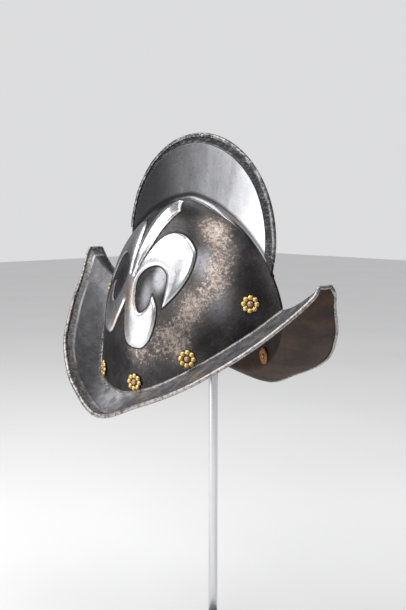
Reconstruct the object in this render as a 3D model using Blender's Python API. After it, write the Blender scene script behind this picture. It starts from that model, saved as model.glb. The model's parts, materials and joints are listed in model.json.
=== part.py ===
"""Comb morion helmet on a plain display stand: the construction, in metres, +Z up.

The helmet is modelled around its own origin, the middle of the brim at eye height, with its
front peak toward -Y and its two halves on either side of X = 0, the wearer's right at -X.
A tilted empty then seats it on the stand, whose underside is Z = 0.
"""

import math
from collections import namedtuple

import bmesh
import bpy
from mathutils import Matrix, Vector
from mathutils.bvhtree import BVHTree

# Sheet metal and the seam between the two halves
WALL = 0.00125
SEAM_GAP = 0.0003
FIT_GAP = 0.0003

# Brim: blunt peaks at the front and rear, lowest at the middle of each side
PEAK_REACH = 0.182
PEAK_HEIGHT = 0.0445
BRIM_HALF_WIDTH = 0.126
BRIM_DROP = 0.1473
BRIM_HOLLOW = 0.003
BRIM_BEAD = 0.0019
BRIM_HOLE = 0.0011
BRIM_HOLE_INSET = 0.0095
FRONT_TIP_ROUND = 0.0022
FRONT_TIP_TURN = 4.0

# Skull: an almond in plan under a pointed dome
SKULL_MIDDLE = 0.003
SKULL_FRONT = 0.134
SKULL_REAR = 0.135
SKULL_CROWN = 0.1135
SKULL_SHOULDER = -0.010
SKULL_FOOT = -0.085
SKULL_HALF_WIDTH = 0.0908
SEAM_RIDGE = 0.0018
CREST_POWER = 1.75
SIDE_POWER = 2.2
PLAN_POWER = 1.93

# Crease between skull and brim, higher at the front and rear than at the sides
CREASE_FRONT = 0.013
CREASE_REAR = 0.011
CREASE_FRONT_POWER = 1.65
CREASE_REAR_POWER = 2.9
CREASE_RADIUS = 0.0026

# Comb: a tall rounded disc in the middle plane
COMB_MIDDLE = -0.003
COMB_CENTRE = 0.0706
COMB_REACH = 0.1123
COMB_RISE = 0.1117
COMB_HALF_BASE = 0.0052
COMB_PANEL_RISE = 0.0012
COMB_BORDER = 0.0105
COMB_FILLET = 0.005

# Rim of the comb: the left half's edge is turned over the right half's
LIP_INSET = 0.0010
LIP_DEPTH = 0.0040
LIP_WALL = 0.0012
LIP_END = 9.0
LIP_ROOT_NEAR = 0.35
LIP_ROOT_FAR = 0.75
LIP_BEND = 0.7
COMB_RIVET_INSET = 0.0027
COMB_RIVET_PLACE = -0.0067
COMB_RIVET_SHANK = 0.0008
COMB_RIVET_HEAD = 0.0015

# Lining rivets, each through a rosette, the wall and a leather washer
RIVET_SHANK = 0.00125
RIVET_HEAD = 0.0031
RIVET_DOME = 0.0016
RIVET_CLINCH = 0.0022
RIVET_CLINCH_HEIGHT = 0.0012
ROSETTE_RADIUS = 0.0094
ROSETTE_RIM = 0.0010
ROSETTE_HEIGHT = 0.0026
ROSETTE_CUP = 0.0016
PETALS = 8
WASHER_RADIUS = 0.0095
WASHER_THICK = 0.0016
WASHER_GAP = 0.0005
WASHER_SIDES = 10

# Embossed lily on each side of the skull, drawn in the side view
LILY_RISE = 0.0016
LILY_ROOT = 0.0006
LILY_PLACE = 0.0176
LILY_FOOT = -0.034
LILY_LEAN = 6.6
LILY_HEIGHT = 0.146
LILY_HALF_WIDTH = 0.0614

# Stand: a round foot, a rod and a domed cap inside the crown
HELMET_HEIGHT = 0.395
HELMET_TILT = 3.7
ROD_PLACE = -0.032
ROD_RADIUS = 0.0049
FOOT_RADIUS = 0.088
FOOT_THICK = 0.010
FOOT_BEVEL = 0.0015
CAP_RADIUS = 0.024
CAP_THICK = 0.012
CAP_CLEAR_OF_SEAM = 0.010
SOCKET_DEPTH = 0.007

# How finely the curved sheet is divided, and how far below the skull's foot lies the
# point that its lines fan out from
FAN_DEPTH = 0.080
STATIONS = 26
FIRST_STATION = 7.0
BRIM_STEPS = 4
SKULL_STEPS = 8
BEAD_STEPS = 6
LOWEST_FILLET = 0.88

# Brim edge from a peak to the middle of a side. Turn is the share of that quarter turn,
# width a share of BRIM_HALF_WIDTH and drop a share of BRIM_DROP.
BrimRow = namedtuple("BrimRow", "turn width drop")
BRIM_FRONT = (
    BrimRow(0.00, 0.072, 0.00),
    BrimRow(0.18, 0.186, 0.129),
    BrimRow(0.40, 0.516, 0.411),
    BrimRow(0.60, 0.802, 0.662),
    BrimRow(0.80, 0.934, 0.848),
    BrimRow(1.00, 1.000, 1.000),
)
BRIM_REAR = (
    BrimRow(0.00, 0.072, 0.00),
    BrimRow(0.18, 0.187, 0.188),
    BrimRow(0.40, 0.457, 0.416),
    BrimRow(0.60, 0.745, 0.678),
    BrimRow(0.80, 0.916, 0.893),
    BrimRow(1.00, 1.000, 1.000),
)

# Lining rivets of each side, set by hand and so not quite alike: angle round the skull
# from the front, and how far up the skull from the crease
LiningRivet = namedtuple("LiningRivet", "angle height")
RIGHT_RIVETS = (
    LiningRivet(35.5, 0.0340),
    LiningRivet(61.5, 0.0185),
    LiningRivet(83, 0.0125),
    LiningRivet(108, 0.0125),
    LiningRivet(148, 0.0290),
)
LEFT_RIVETS = (
    LiningRivet(46, 0.0290),
    LiningRivet(75, 0.0155),
    LiningRivet(107, 0.0145),
    LiningRivet(126, 0.0240),
    LiningRivet(146, 0.0290),
)

# One half of the lily from its point down to its foot. Side is a share of
# LILY_HALF_WIDTH and up a share of LILY_HEIGHT.
LilyPoint = namedtuple("LilyPoint", "side up")
LILY_OUTLINE = (
    LilyPoint(0.00, 1.000),
    LilyPoint(0.21, 0.945),
    LilyPoint(0.17, 0.808),
    LilyPoint(0.145, 0.692),
    LilyPoint(0.09, 0.582),
    LilyPoint(0.05, 0.492),
    LilyPoint(0.07, 0.490),
    LilyPoint(0.14, 0.638),
    LilyPoint(0.24, 0.750),
    LilyPoint(0.34, 0.793),
    LilyPoint(0.48, 0.815),
    LilyPoint(0.66, 0.799),
    LilyPoint(0.85, 0.747),
    LilyPoint(0.95, 0.689),
    LilyPoint(1.00, 0.594),
    LilyPoint(0.98, 0.499),
    LilyPoint(0.91, 0.412),
    LilyPoint(0.79, 0.325),
    LilyPoint(0.77, 0.392),
    LilyPoint(0.71, 0.520),
    LilyPoint(0.61, 0.572),
    LilyPoint(0.47, 0.590),
    LilyPoint(0.32, 0.569),
    LilyPoint(0.20, 0.520),
    LilyPoint(0.15, 0.453),
    LilyPoint(0.19, 0.380),
    LilyPoint(0.25, 0.316),
    LilyPoint(0.36, 0.260),
    LilyPoint(0.45, 0.263),
    LilyPoint(0.54, 0.320),
    LilyPoint(0.55, 0.397),
    LilyPoint(0.68, 0.328),
    LilyPoint(0.73, 0.251),
    LilyPoint(0.74, 0.184),
    LilyPoint(0.71, 0.100),
    LilyPoint(0.62, 0.038),
    LilyPoint(0.48, 0.018),
    LilyPoint(0.32, 0.025),
    LilyPoint(0.21, 0.063),
    LilyPoint(0.13, 0.140),
    LilyPoint(0.035, 0.250),
    LilyPoint(0.00, 0.310),
)


def mix(a, b, share):
    return a + (b - a) * share


def smooth_table(rows, column, turn):
    """Monotone cubic through one column of a table of BrimRow, level at its end."""
    knots = [row.turn for row in rows]
    values = [getattr(row, column) for row in rows]
    steps = [b - a for a, b in zip(knots, knots[1:])]
    slopes = [(b - a) / h for a, b, h in zip(values, values[1:], steps)]
    tangents = [slopes[0]]
    for before, after in zip(slopes, slopes[1:]):
        tangents.append(0.0 if before * after <= 0 else 2 * before * after / (before + after))
    tangents.append(0.0)
    i = min(max(sum(turn > k for k in knots[1:]), 0), len(steps) - 1)
    h = steps[i]
    t = (turn - knots[i]) / h
    return (
        values[i] * (2 * t**3 - 3 * t**2 + 1)
        + tangents[i] * h * (t**3 - 2 * t**2 + t)
        + values[i + 1] * (3 * t**2 - 2 * t**3)
        + tangents[i + 1] * h * (t**3 - t**2)
    )


def brim_edge(angle):
    """Outermost point of the brim, as (out from the middle plane, y, z)."""
    turn = (angle - FIRST_STATION) / (90 - FIRST_STATION)
    rows, way = BRIM_FRONT, -1
    cut = FRONT_TIP_ROUND * math.exp(-(((angle - FIRST_STATION) / FRONT_TIP_TURN) ** 2))
    if angle > 90:
        turn = (180 - angle - FIRST_STATION) / (90 - FIRST_STATION)
        rows, way = BRIM_REAR, 1
    middle = turn < 0
    turn = max(turn, 0.0)
    out = 0.0 if middle else BRIM_HALF_WIDTH * smooth_table(rows, "width", turn)
    y = way * (PEAK_REACH * math.cos(turn * math.pi / 2) - cut)
    return Vector((out, y, PEAK_HEIGHT - BRIM_DROP * smooth_table(rows, "drop", turn)))


def skull_half_length(z, rear):
    length = SKULL_REAR if rear else SKULL_FRONT
    if z <= SKULL_SHOULDER:
        return length
    rise = min((z - SKULL_SHOULDER) / (SKULL_CROWN - SKULL_SHOULDER), 1.0)
    return length * (1 - rise**CREST_POWER) ** (1 / CREST_POWER)


def skull_half_width(z):
    rise = min(max((z - SKULL_FOOT) / (SKULL_CROWN - SKULL_FOOT), 0.0), 1.0)
    return SKULL_HALF_WIDTH * (1 - rise**SIDE_POWER) ** (1 / SIDE_POWER)


def skull_out(y, z):
    """How far the skull's outer face stands from the middle plane at a side-view point."""
    length = skull_half_length(z, y > SKULL_MIDDLE)
    share = 1.0 if length <= 0 else min(abs(y - SKULL_MIDDLE) / length, 1.0)
    return skull_half_width(z) * (1 - share**PLAN_POWER)


def crease_point(angle):
    """Where skull and brim meet."""
    rear = angle > 90
    end, power = (CREASE_REAR, CREASE_REAR_POWER) if rear else (CREASE_FRONT, CREASE_FRONT_POWER)
    share = abs(math.cos(math.radians(angle)))
    z = SKULL_FOOT + (end - SKULL_FOOT) * share**power
    way = 1 if rear else -1
    y = SKULL_MIDDLE + way * share * skull_half_length(z, rear)
    return Vector((skull_out(y, z) if 0 < angle < 180 else 0.0, y, z))


def crest_point(turn):
    """Point of the skull's outline in the middle plane, turn from 0 at front to 180."""
    rad = math.radians(turn)
    length = SKULL_REAR if turn > 90 else SKULL_FRONT
    way = 1 if turn > 90 else -1
    y = SKULL_MIDDLE + way * length * abs(math.cos(rad)) ** (2 / CREST_POWER)
    rise = math.sin(rad) ** (2 / CREST_POWER)
    return Vector((0.0, y, SKULL_SHOULDER + (SKULL_CROWN - SKULL_SHOULDER) * rise))


def comb_value(point, inset):
    across = (point.y - COMB_MIDDLE) / (COMB_REACH - inset)
    up = (point.z - COMB_CENTRE) / (COMB_RISE - inset)
    return across**2 + up**2 - 1


def comb_meets_crest(inset, rear):
    """Turn of the crest point where the comb's outline leaves the skull."""
    low, high = (180.0, 90.0) if rear else (0.0, 90.0)
    for _ in range(40):
        middle = (low + high) / 2
        if comb_value(crest_point(middle), inset) > 0:
            low = middle
        else:
            high = middle
    return low


def rim_point(turn, inset):
    """Point of the comb's outline, turn in degrees from the rear over the top."""
    rad = math.radians(turn)
    y = COMB_MIDDLE + (COMB_REACH - inset) * math.cos(rad)
    return Vector((0.0, y, COMB_CENTRE + (COMB_RISE - inset) * math.sin(rad)))


def rim_turn(point, inset):
    across = (point.y - COMB_MIDDLE) / (COMB_REACH - inset)
    up = (point.z - COMB_CENTRE) / (COMB_RISE - inset)
    turn = math.degrees(math.atan2(up, across))
    return turn + 360 if turn < -90 else turn


def fan_origin():
    return Vector((0.0, SKULL_MIDDLE, SKULL_FOOT - FAN_DEPTH))


def outline_reach(bearing):
    """Distance from the fan's origin to the skull's side-view outline."""
    origin = fan_origin()
    low, high = 0.0, SKULL_FRONT + SKULL_REAR + SKULL_CROWN - origin.z
    for _ in range(40):
        middle = (low + high) / 2
        y = origin.y + middle * math.cos(bearing)
        z = origin.z + middle * math.sin(bearing)
        inside = z < SKULL_CROWN and abs(y - SKULL_MIDDLE) < skull_half_length(z, y > SKULL_MIDDLE)
        low, high = (middle, high) if inside else (low, middle)
    return low


def bearing_and_share(point):
    away = point - fan_origin()
    bearing = math.atan2(away.z, away.y)
    return bearing, min(math.hypot(away.y, away.z) / outline_reach(bearing), 1.0)


def skull_line(angle, crest_turn):
    """Function from 0 at the crease to 1 at the crest, along one line of the skull."""
    start, start_share = bearing_and_share(crease_point(angle))
    end, _ = bearing_and_share(crest_point(crest_turn))
    on_seam = angle <= 0 or angle >= 180
    origin = fan_origin()

    def at(step):
        bearing = mix(start, end, step)
        share = 1.0 if on_seam else mix(start_share, 1.0, math.sin(step * math.pi / 2))
        reach = share * outline_reach(bearing)
        y = origin.y + reach * math.cos(bearing)
        z = origin.z + reach * math.sin(bearing)
        return Vector((0.0 if on_seam or step >= 1 else skull_out(y, z), y, z))

    return at


def find_step(line, out, low=0.0):
    """Where along a skull line its distance from the middle plane falls to a value."""
    high = 1.0
    for _ in range(30):
        middle = (low + high) / 2
        low, high = (middle, high) if line(middle).x > out else (low, middle)
    return low


def step_at_height(line, height):
    """Where along a skull line it has risen a distance from the crease."""
    low, high = 0.0, 1.0
    start = line(0.0)
    for _ in range(30):
        middle = (low + high) / 2
        low, high = (middle, high) if (line(middle) - start).length < height else (low, middle)
    return low


def station_angles():
    inner = [mix(FIRST_STATION, 180 - FIRST_STATION, i / STATIONS) for i in range(STATIONS + 1)]
    return [0.0] + inner + [180.0]


def crest_turn_at(angle, inset):
    front = comb_meets_crest(inset, False)
    rear = comb_meets_crest(inset, True)
    return mix(front, rear, angle / 180)


def comb_half(depth, height):
    """Half thickness of the comb at a depth below its rim, where it stands a height."""
    rim = SEAM_GAP / 2 + WALL
    border = min(COMB_BORDER, 0.45 * height)
    if depth <= border * 1.01:
        return rim
    fullness = min(height / (6 * COMB_BORDER), 1.0)
    swell = (depth - border) / max(height - border, 1e-6)
    return rim + fullness * (COMB_PANEL_RISE + (COMB_HALF_BASE - rim - COMB_PANEL_RISE) * swell)


def sheet_line(angle, inset):
    """Outer face of one half along a station, from the brim's edge to the comb's rim."""
    on_seam = angle <= 0 or angle >= 180
    crest_turn = crest_turn_at(angle, inset)
    line = skull_line(angle, crest_turn)
    crest = crest_point(crest_turn)
    crease = crease_point(angle)
    edge = brim_edge(angle)
    inward = (crease - edge).normalized()
    edge = edge + inward * BRIM_BEAD
    lip = crease - inward * CREASE_RADIUS
    points = []
    for i in range(BRIM_STEPS + 1):
        share = i / BRIM_STEPS
        dip = BRIM_HOLLOW * 4 * share * (1 - share)
        points.append(mix(edge, lip, share) - Vector((0, 0, dip)))
    if on_seam:
        proud = Vector((0.0, math.copysign(SEAM_RIDGE, crest.y), 0.0))
        rise = step_at_height(line, CREASE_RADIUS)
        points.append(mix(mix(lip, crease, 0.5), mix(crease, line(rise), 0.5), 0.5) + proud * 0.5)
        for i in range(SKULL_STEPS + 1):
            points.append(line(mix(rise, 1.0, i / SKULL_STEPS)) + proud)
        points += [crest + proud] * 6
        return points, len(points) - 6
    front = comb_meets_crest(inset, False)
    rear = comb_meets_crest(inset, True)
    first = rim_turn(crest_point(front), inset)
    last = rim_turn(crest_point(rear), inset)
    rim = rim_point(mix(first, last, angle / 180), inset)
    height = (rim - crest).length
    half = comb_half(height, height)
    fillet = min(COMB_FILLET, 0.35 * height)
    rise = step_at_height(line, CREASE_RADIUS)
    points.append(mix(mix(lip, crease, 0.5), mix(crease, line(rise), 0.5), 0.5))
    top = max(find_step(line, half + fillet), LOWEST_FILLET)
    end = max(find_step(line, half), (1 + LOWEST_FILLET) / 2)
    for i in range(SKULL_STEPS + 1):
        spot = line(mix(rise, top, i / SKULL_STEPS))
        points.append(Vector((max(spot.x, half), spot.y, spot.z)))
    root = line(end)
    root.x = half
    upward = rim - Vector((0.0, root.y, root.z))
    height = upward.length
    upward.normalize()
    border = min(COMB_BORDER, 0.45 * height)
    above = root + upward * min(fillet, 0.4 * height)
    points.append(mix(mix(points[-1], root, 0.5), mix(root, above, 0.5), 0.5))
    base = height - (above - root).length
    for depth in (base, mix(base, border * 1.15, 0.5), border * 1.15, border * 0.95, 0.0):
        spot = rim - upward * depth
        spot.x = comb_half(depth, height)
        points.append(spot)
    return points, len(points) - 6


def sheet_faces(inset):
    """Outer and inner points of one half, station by station."""
    angles = station_angles()
    outer = [sheet_line(angle, inset)[0] for angle in angles]
    crest_row = sheet_line(90.0, inset)[1]
    inner = []
    for i, row in enumerate(outer):
        before, after = outer[max(i - 1, 0)], outer[min(i + 1, len(outer) - 1)]
        on_seam = i in (0, len(outer) - 1)
        last = crest_row - 1 if on_seam else crest_row
        inner_row = []
        for j, point in enumerate(row):
            along = after[j] - before[j]
            across = row[min(j + 1, last)] - row[max(j - 1, 0)]
            if on_seam:
                along = Vector((1.0 if i == 0 else -1.0, 0.0, 0.0))
            if j > last:
                flat = Vector((max(point.x - WALL, SEAM_GAP / 2), point.y, point.z))
                inner_row.append(inner_row[last] if on_seam else flat)
                continue
            spot = point - along.cross(across).normalized() * WALL
            spot.x = max(spot.x, SEAM_GAP / 2)
            inner_row.append(spot)
        for point in row:
            point.x = max(point.x, SEAM_GAP / 2)
        if on_seam:
            for spot in inner_row:
                spot.x = SEAM_GAP / 2
            for point in row:
                point.x = SEAM_GAP / 2
        inner.append(inner_row)
    return outer, inner


def mesh_object(name, points, faces, side=1):
    """Object from points given as (out, y, z), mirrored to one side, faces outward."""
    mesh = bpy.data.meshes.new(name)
    mesh.from_pydata([(side * p[0], p[1], p[2]) for p in points], [], faces)
    shape = bmesh.new()
    shape.from_mesh(mesh)
    bmesh.ops.remove_doubles(shape, verts=shape.verts, dist=1e-6)
    bmesh.ops.dissolve_degenerate(shape, edges=shape.edges, dist=1e-6)
    bmesh.ops.triangulate(shape, faces=shape.faces)
    bmesh.ops.recalc_face_normals(shape, faces=shape.faces)
    if shape.calc_volume(signed=True) < 0:
        bmesh.ops.reverse_faces(shape, faces=shape.faces)
    shape.to_mesh(mesh)
    shape.free()
    obj = bpy.data.objects.new(name, mesh)
    bpy.context.scene.collection.objects.link(obj)
    return obj


def bead_ring(first_outer, first_inner, second_outer):
    """Turned edge round the brim: points over the top, outside and underneath."""
    inward = (second_outer - first_outer).normalized()
    up = (first_outer - first_inner).normalized()
    ring = []
    for k in range(BEAD_STEPS + 1):
        turn = math.radians(mix(30, 312, k / BEAD_STEPS))
        ring.append(first_outer + (inward * math.cos(turn) + up * math.sin(turn)) * BRIM_BEAD)
    return ring


def half_solid(name, side, inset):
    outer, inner = sheet_faces(inset)
    loops = []
    for i, (out_row, in_row) in enumerate(zip(outer, inner)):
        on_seam = i in (0, len(outer) - 1)
        ring = bead_ring(out_row[0], in_row[0], out_row[1])
        if on_seam:
            for point in ring:
                point.x = SEAM_GAP / 2
        loops.append(list(reversed(ring)) + out_row[1:] + list(reversed(in_row[1:])))
    count = len(loops[0])
    points = [point for loop in loops for point in loop]
    faces = []
    for i in range(len(loops) - 1):
        for j in range(count):
            a, b = i * count + j, i * count + (j + 1) % count
            faces.append((a, b, b + count, a + count))
    beads = BEAD_STEPS + 1
    rows = len(outer[0]) - 1
    for base in (0, (len(loops) - 1) * count):
        faces.append([base + j for j in range(beads)] + [base + beads, base + count - 1])
        for j in range(rows - 1):
            near = base + beads + j
            far = base + count - 1 - j
            faces.append((near, near + 1, far - 1, far))
    return mesh_object(name, points, faces, side)


def material(name, colour, roughness, metallic):
    made = bpy.data.materials.new(name)
    made.use_nodes = True
    shader = made.node_tree.nodes["Principled BSDF"]
    shader.inputs["Base Color"].default_value = (*colour, 1.0)
    shader.inputs["Roughness"].default_value = roughness
    shader.inputs["Metallic"].default_value = metallic
    return made


def finish(obj, made, seat):
    """Give a piece its material, smooth shading and the empty that carries it."""
    obj.data.materials.append(made)
    obj.data.shade_smooth()
    obj.data.set_sharp_from_angle(angle=math.radians(35))
    obj.parent = seat
    return obj


def cutter(obj, seat):
    obj.hide_render = True
    obj.display_type = "WIRE"
    obj.parent = seat
    return obj


def boolean(obj, other, operation, solver="EXACT"):
    modifier = obj.modifiers.new(other.name, "BOOLEAN")
    modifier.operation = operation
    modifier.solver = solver
    modifier.object = other


def ring_faces(rings, count):
    """Quads between rings of points, as a closed tube of rings."""
    faces = []
    for i in range(rings):
        for k in range(count):
            a, b = i * count + k, i * count + (k + 1) % count
            c = (i + 1) % rings * count
            faces.append((a, b, c + (k + 1) % count, c + k))
    return faces


def turned_object(name, profile, sides, frame=Matrix()):
    """Solid of revolution about the frame's Z. The profile starts and ends on the axis."""
    points = [frame @ Vector((0, 0, profile[0][1]))]
    for radius, z in profile[1:-1]:
        for k in range(sides):
            turn = 2 * math.pi * k / sides
            points.append(frame @ Vector((radius * math.cos(turn), radius * math.sin(turn), z)))
    points.append(frame @ Vector((0, 0, profile[-1][1])))
    faces = []
    last = len(points) - 1
    for k in range(sides):
        after = (k + 1) % sides
        faces.append((0, 1 + after, 1 + k))
        faces.append((last, last - sides + k, last - sides + after))
        for i in range(len(profile) - 3):
            base = 1 + i * sides
            faces.append((base + k, base + after, base + sides + after, base + sides + k))
    return mesh_object(name, points, faces)


def surface_tree(obj):
    mesh = obj.data
    return BVHTree.FromPolygons([v.co for v in mesh.vertices], [p.vertices for p in mesh.polygons])


def rivet_place(rivet):
    """Point and outward direction on the smooth skull at one lining rivet."""

    def spot(angle, height):
        line = skull_line(angle, crest_turn_at(angle, LIP_INSET))
        return line(step_at_height(line, height))

    along = spot(rivet.angle + 1, rivet.height) - spot(rivet.angle - 1, rivet.height)
    across = spot(rivet.angle, rivet.height + 0.001) - spot(rivet.angle, rivet.height - 0.001)
    normal = across.cross(along).normalized()
    return spot(rivet.angle, rivet.height), normal if normal.x > 0 else -normal


def frame_at(origin, normal):
    """Frame with Z along a direction and X as level as it can be."""
    level = Vector((0, 0, 1)).cross(normal).normalized()
    matrix = Matrix((level, normal.cross(level), normal)).transposed().to_4x4()
    matrix.translation = origin
    return matrix


def rosette(name, frame):
    """Pressed brass flower with a cupped middle and a hole for its rivet."""
    hole = RIVET_SHANK + FIT_GAP
    points = []
    count = 2 * PETALS
    for radius, height, waist in (
        (hole, 0.0, 0.0),
        (ROSETTE_RADIUS * 0.97, 0.0, 0.14),
        (ROSETTE_RADIUS, ROSETTE_RIM, 0.14),
        (ROSETTE_RADIUS * 0.62, ROSETTE_HEIGHT, 0.0),
        (hole, ROSETTE_CUP, 0.0),
    ):
        for k in range(count):
            turn = 2 * math.pi * k / count
            notch = k % 2
            reach = radius * (1 - waist * notch)
            lift = height * (0.72 if notch and height == ROSETTE_HEIGHT else 1.0)
            spot = Vector((reach * math.cos(turn), reach * math.sin(turn), lift))
            points.append(frame @ spot)
    return mesh_object(name, points, ring_faces(5, count))


def washer(name, tree, centre, normal):
    """Leather washer that follows the inside of the wall and spans the bend of the crease."""
    frame = frame_at(centre - normal * 0.02, normal)
    deepest = tree.ray_cast(frame.translation, normal)[3]
    hole = RIVET_SHANK + 2 * FIT_GAP
    points = []
    for radius, lift in ((hole, 0), (WASHER_RADIUS, 0), (WASHER_RADIUS, WASHER_THICK), (hole, WASHER_THICK)):
        for k in range(WASHER_SIDES):
            turn = 2 * math.pi * k / WASHER_SIDES
            start = frame @ Vector((radius * math.cos(turn), radius * math.sin(turn), 0))
            reach = tree.ray_cast(start, normal)[3]
            reach = deepest if reach is None else min(reach, deepest)
            points.append(start + normal * (reach - WASHER_GAP - lift))
    return mesh_object(name, points, ring_faces(4, WASHER_SIDES))


def rosette_seat(tree, outside, normal):
    """How far the wall under a rosette rises above its middle."""
    frame = frame_at(outside + normal * 0.02, normal)
    highest = 0.0
    for k in range(2 * PETALS):
        turn = math.pi * k / PETALS
        start = frame @ Vector((ROSETTE_RADIUS * math.cos(turn), ROSETTE_RADIUS * math.sin(turn), 0))
        highest = max(highest, 0.02 - tree.ray_cast(start, -normal)[3])
    return highest


def lining_rivet(name, frame, bottom, top):
    profile = (
        (0, bottom - RIVET_CLINCH_HEIGHT),
        (RIVET_CLINCH * 0.8, bottom - RIVET_CLINCH_HEIGHT),
        (RIVET_CLINCH, bottom),
        (RIVET_SHANK, bottom),
        (RIVET_SHANK, top),
        (RIVET_HEAD, top),
        (RIVET_HEAD * 0.72, top + RIVET_DOME * 0.75),
        (0, top + RIVET_DOME),
    )
    return turned_object(name, profile, 8, frame)


def across_cutter(name, y, z, low, high, radius, seat):
    """Round cutter along X."""
    frame = Matrix.Translation((0, y, z)) @ Matrix.Rotation(math.pi / 2, 4, "Y")
    profile = ((0, low), (radius, low), (radius, high), (0, high))
    return cutter(turned_object(name, profile, 8, frame), seat)


def comb_lip(seat):
    """Hooked edge of the left half that closes over the right half's rim."""
    thin = SEAM_GAP / 2 + WALL
    outside = thin + FIT_GAP
    profile = (
        (thin * LIP_ROOT_NEAR, LIP_INSET + LIP_WALL),
        (thin * LIP_ROOT_FAR, LIP_INSET + LIP_WALL),
        (thin * LIP_ROOT_FAR, LIP_INSET * LIP_BEND),
        (thin * LIP_ROOT_NEAR, 0.0),
        (-outside * LIP_BEND, 0.0),
        (-outside - LIP_WALL * LIP_BEND, LIP_WALL * LIP_ROOT_NEAR),
        (-outside - LIP_WALL, LIP_WALL),
        (-outside - LIP_WALL, LIP_DEPTH),
        (-outside, LIP_DEPTH),
        (-outside, LIP_WALL),
        (-SEAM_GAP / 2, LIP_WALL),
    )
    first = rim_turn(crest_point(comb_meets_crest(0.0, False)), 0.0) - LIP_END
    last = rim_turn(crest_point(comb_meets_crest(0.0, True)), 0.0) + LIP_END
    points = []
    for i in range(STATIONS + 1):
        turn = mix(first, last, i / STATIONS)
        for out, inset in profile:
            spot = rim_point(turn, inset)
            points.append(Vector((out, spot.y, spot.z)))
    count = len(profile)
    faces = ring_faces(STATIONS + 1, count)[: STATIONS * count]
    faces += [range(count), [STATIONS * count + k for k in range(count)]]
    return cutter(mesh_object("lip_to_join", points, faces), seat)


def lily_outline():
    """Side-view points (y, z) round the whole lily, mirrored about its leaning axis."""
    lean = math.radians(LILY_LEAN)
    up = Vector((-math.sin(lean), math.cos(lean)))
    side = Vector((-math.cos(lean), -math.sin(lean)))
    foot = Vector((LILY_PLACE, LILY_FOOT))
    half = [(p.side * LILY_HALF_WIDTH, p.up * LILY_HEIGHT) for p in LILY_OUTLINE]
    whole = half + [(-w, h) for w, h in reversed(half[1:-1])]
    return [foot + side * w + up * h for w, h in whole]


def lily_relief(name, side, inset, seat):
    """Raised lily: its outline cut from a layer that follows the skull."""
    outer, inner = sheet_faces(inset)
    first, last = BRIM_STEPS + 3, BRIM_STEPS + 2 + SKULL_STEPS
    rows = range(first, last + 1)
    stations = range(3, len(outer) - 3)
    points = []
    for lift in (-LILY_ROOT / WALL, LILY_RISE / WALL):
        for i in stations:
            points += [outer[i][j] + (outer[i][j] - inner[i][j]) * lift for j in rows]
    wide, tall = len(stations), len(rows)
    faces = []
    for base in (0, wide * tall):
        for i in range(wide - 1):
            for j in range(tall - 1):
                a = base + i * tall + j
                faces.append((a, a + 1, a + tall + 1, a + tall))
    top = wide * tall
    rim = [i * tall for i in range(wide)] + [(wide - 1) * tall + j for j in range(1, tall)]
    rim += [i * tall + tall - 1 for i in reversed(range(wide - 1))] + [j for j in reversed(range(1, tall - 1))]
    for a, b in zip(rim, rim[1:] + rim[:1]):
        faces.append((a, b, b + top, a + top))
    layer = cutter(mesh_object(name, points, faces, side), seat)
    outline = lily_outline()
    count = len(outline)
    prism_points = [(out, p.x, p.y) for out in (0.002, SKULL_HALF_WIDTH * 1.1) for p in outline]
    prism_faces = [range(count), range(count, 2 * count)]
    prism_faces += [(k, (k + 1) % count, count + (k + 1) % count, count + k) for k in range(count)]
    prism = cutter(mesh_object(name + "_outline", prism_points, prism_faces, side), seat)
    boolean(layer, prism, "INTERSECT")
    return layer


def brim_hole_place():
    """Where the small hole near the lowest point of the brim goes through."""
    edge, crease = brim_edge(90.0), crease_point(90.0)
    return mix(edge, crease, BRIM_HOLE_INSET / (crease - edge).length)


def half_helmet(name, side, inset, steel, seat):
    half = finish(half_solid(name, side, inset), steel, seat)
    tag = "left" if side > 0 else "right"
    boolean(half, lily_relief(tag + "_lily", side, inset, seat), "UNION")
    if side > 0:
        boolean(half, comb_lip(seat), "UNION")
    spot = brim_hole_place()
    low, high = spot.z - 0.02, spot.z + 0.02
    profile = ((0, low), (BRIM_HOLE, low), (BRIM_HOLE, high), (0, high))
    place = Matrix.Translation((side * spot.x, spot.y, 0))
    boolean(half, cutter(turned_object(tag + "_brim_hole", profile, 8, place), seat), "DIFFERENCE")
    return half


def lining_fastening(tag, side, half, tree, rivet, brass, iron, leather, seat):
    """One rosette with its rivet, its hole in the wall and its washer."""
    place, normal = rivet_place(rivet)
    mirror = Vector((side, 1, 1))
    place, normal = place * mirror, normal * mirror
    outside = tree.ray_cast(place + normal * 0.02, -normal)[0]
    inside = tree.ray_cast(place - normal * 0.02, normal)[0]
    lift = rosette_seat(tree, outside, normal) + FIT_GAP
    frame = frame_at(outside + normal * lift, normal)
    finish(rosette("rosette_" + tag, frame), brass, seat)
    finish(washer("lining_washer_" + tag, tree, place, normal), leather, seat)
    depth = (outside - inside).length + lift
    bottom = -depth - WASHER_GAP - WASHER_THICK - FIT_GAP
    top = ROSETTE_HEIGHT * 0.72 + FIT_GAP
    finish(lining_rivet("lining_rivet_" + tag, frame, bottom, top), iron, seat)
    reach = RIVET_SHANK + FIT_GAP
    profile = ((0, -0.01), (reach, -0.01), (reach, 0.01), (0, 0.01))
    boolean(half, cutter(turned_object("hole_" + tag, profile, 8, frame), seat), "DIFFERENCE")


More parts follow.
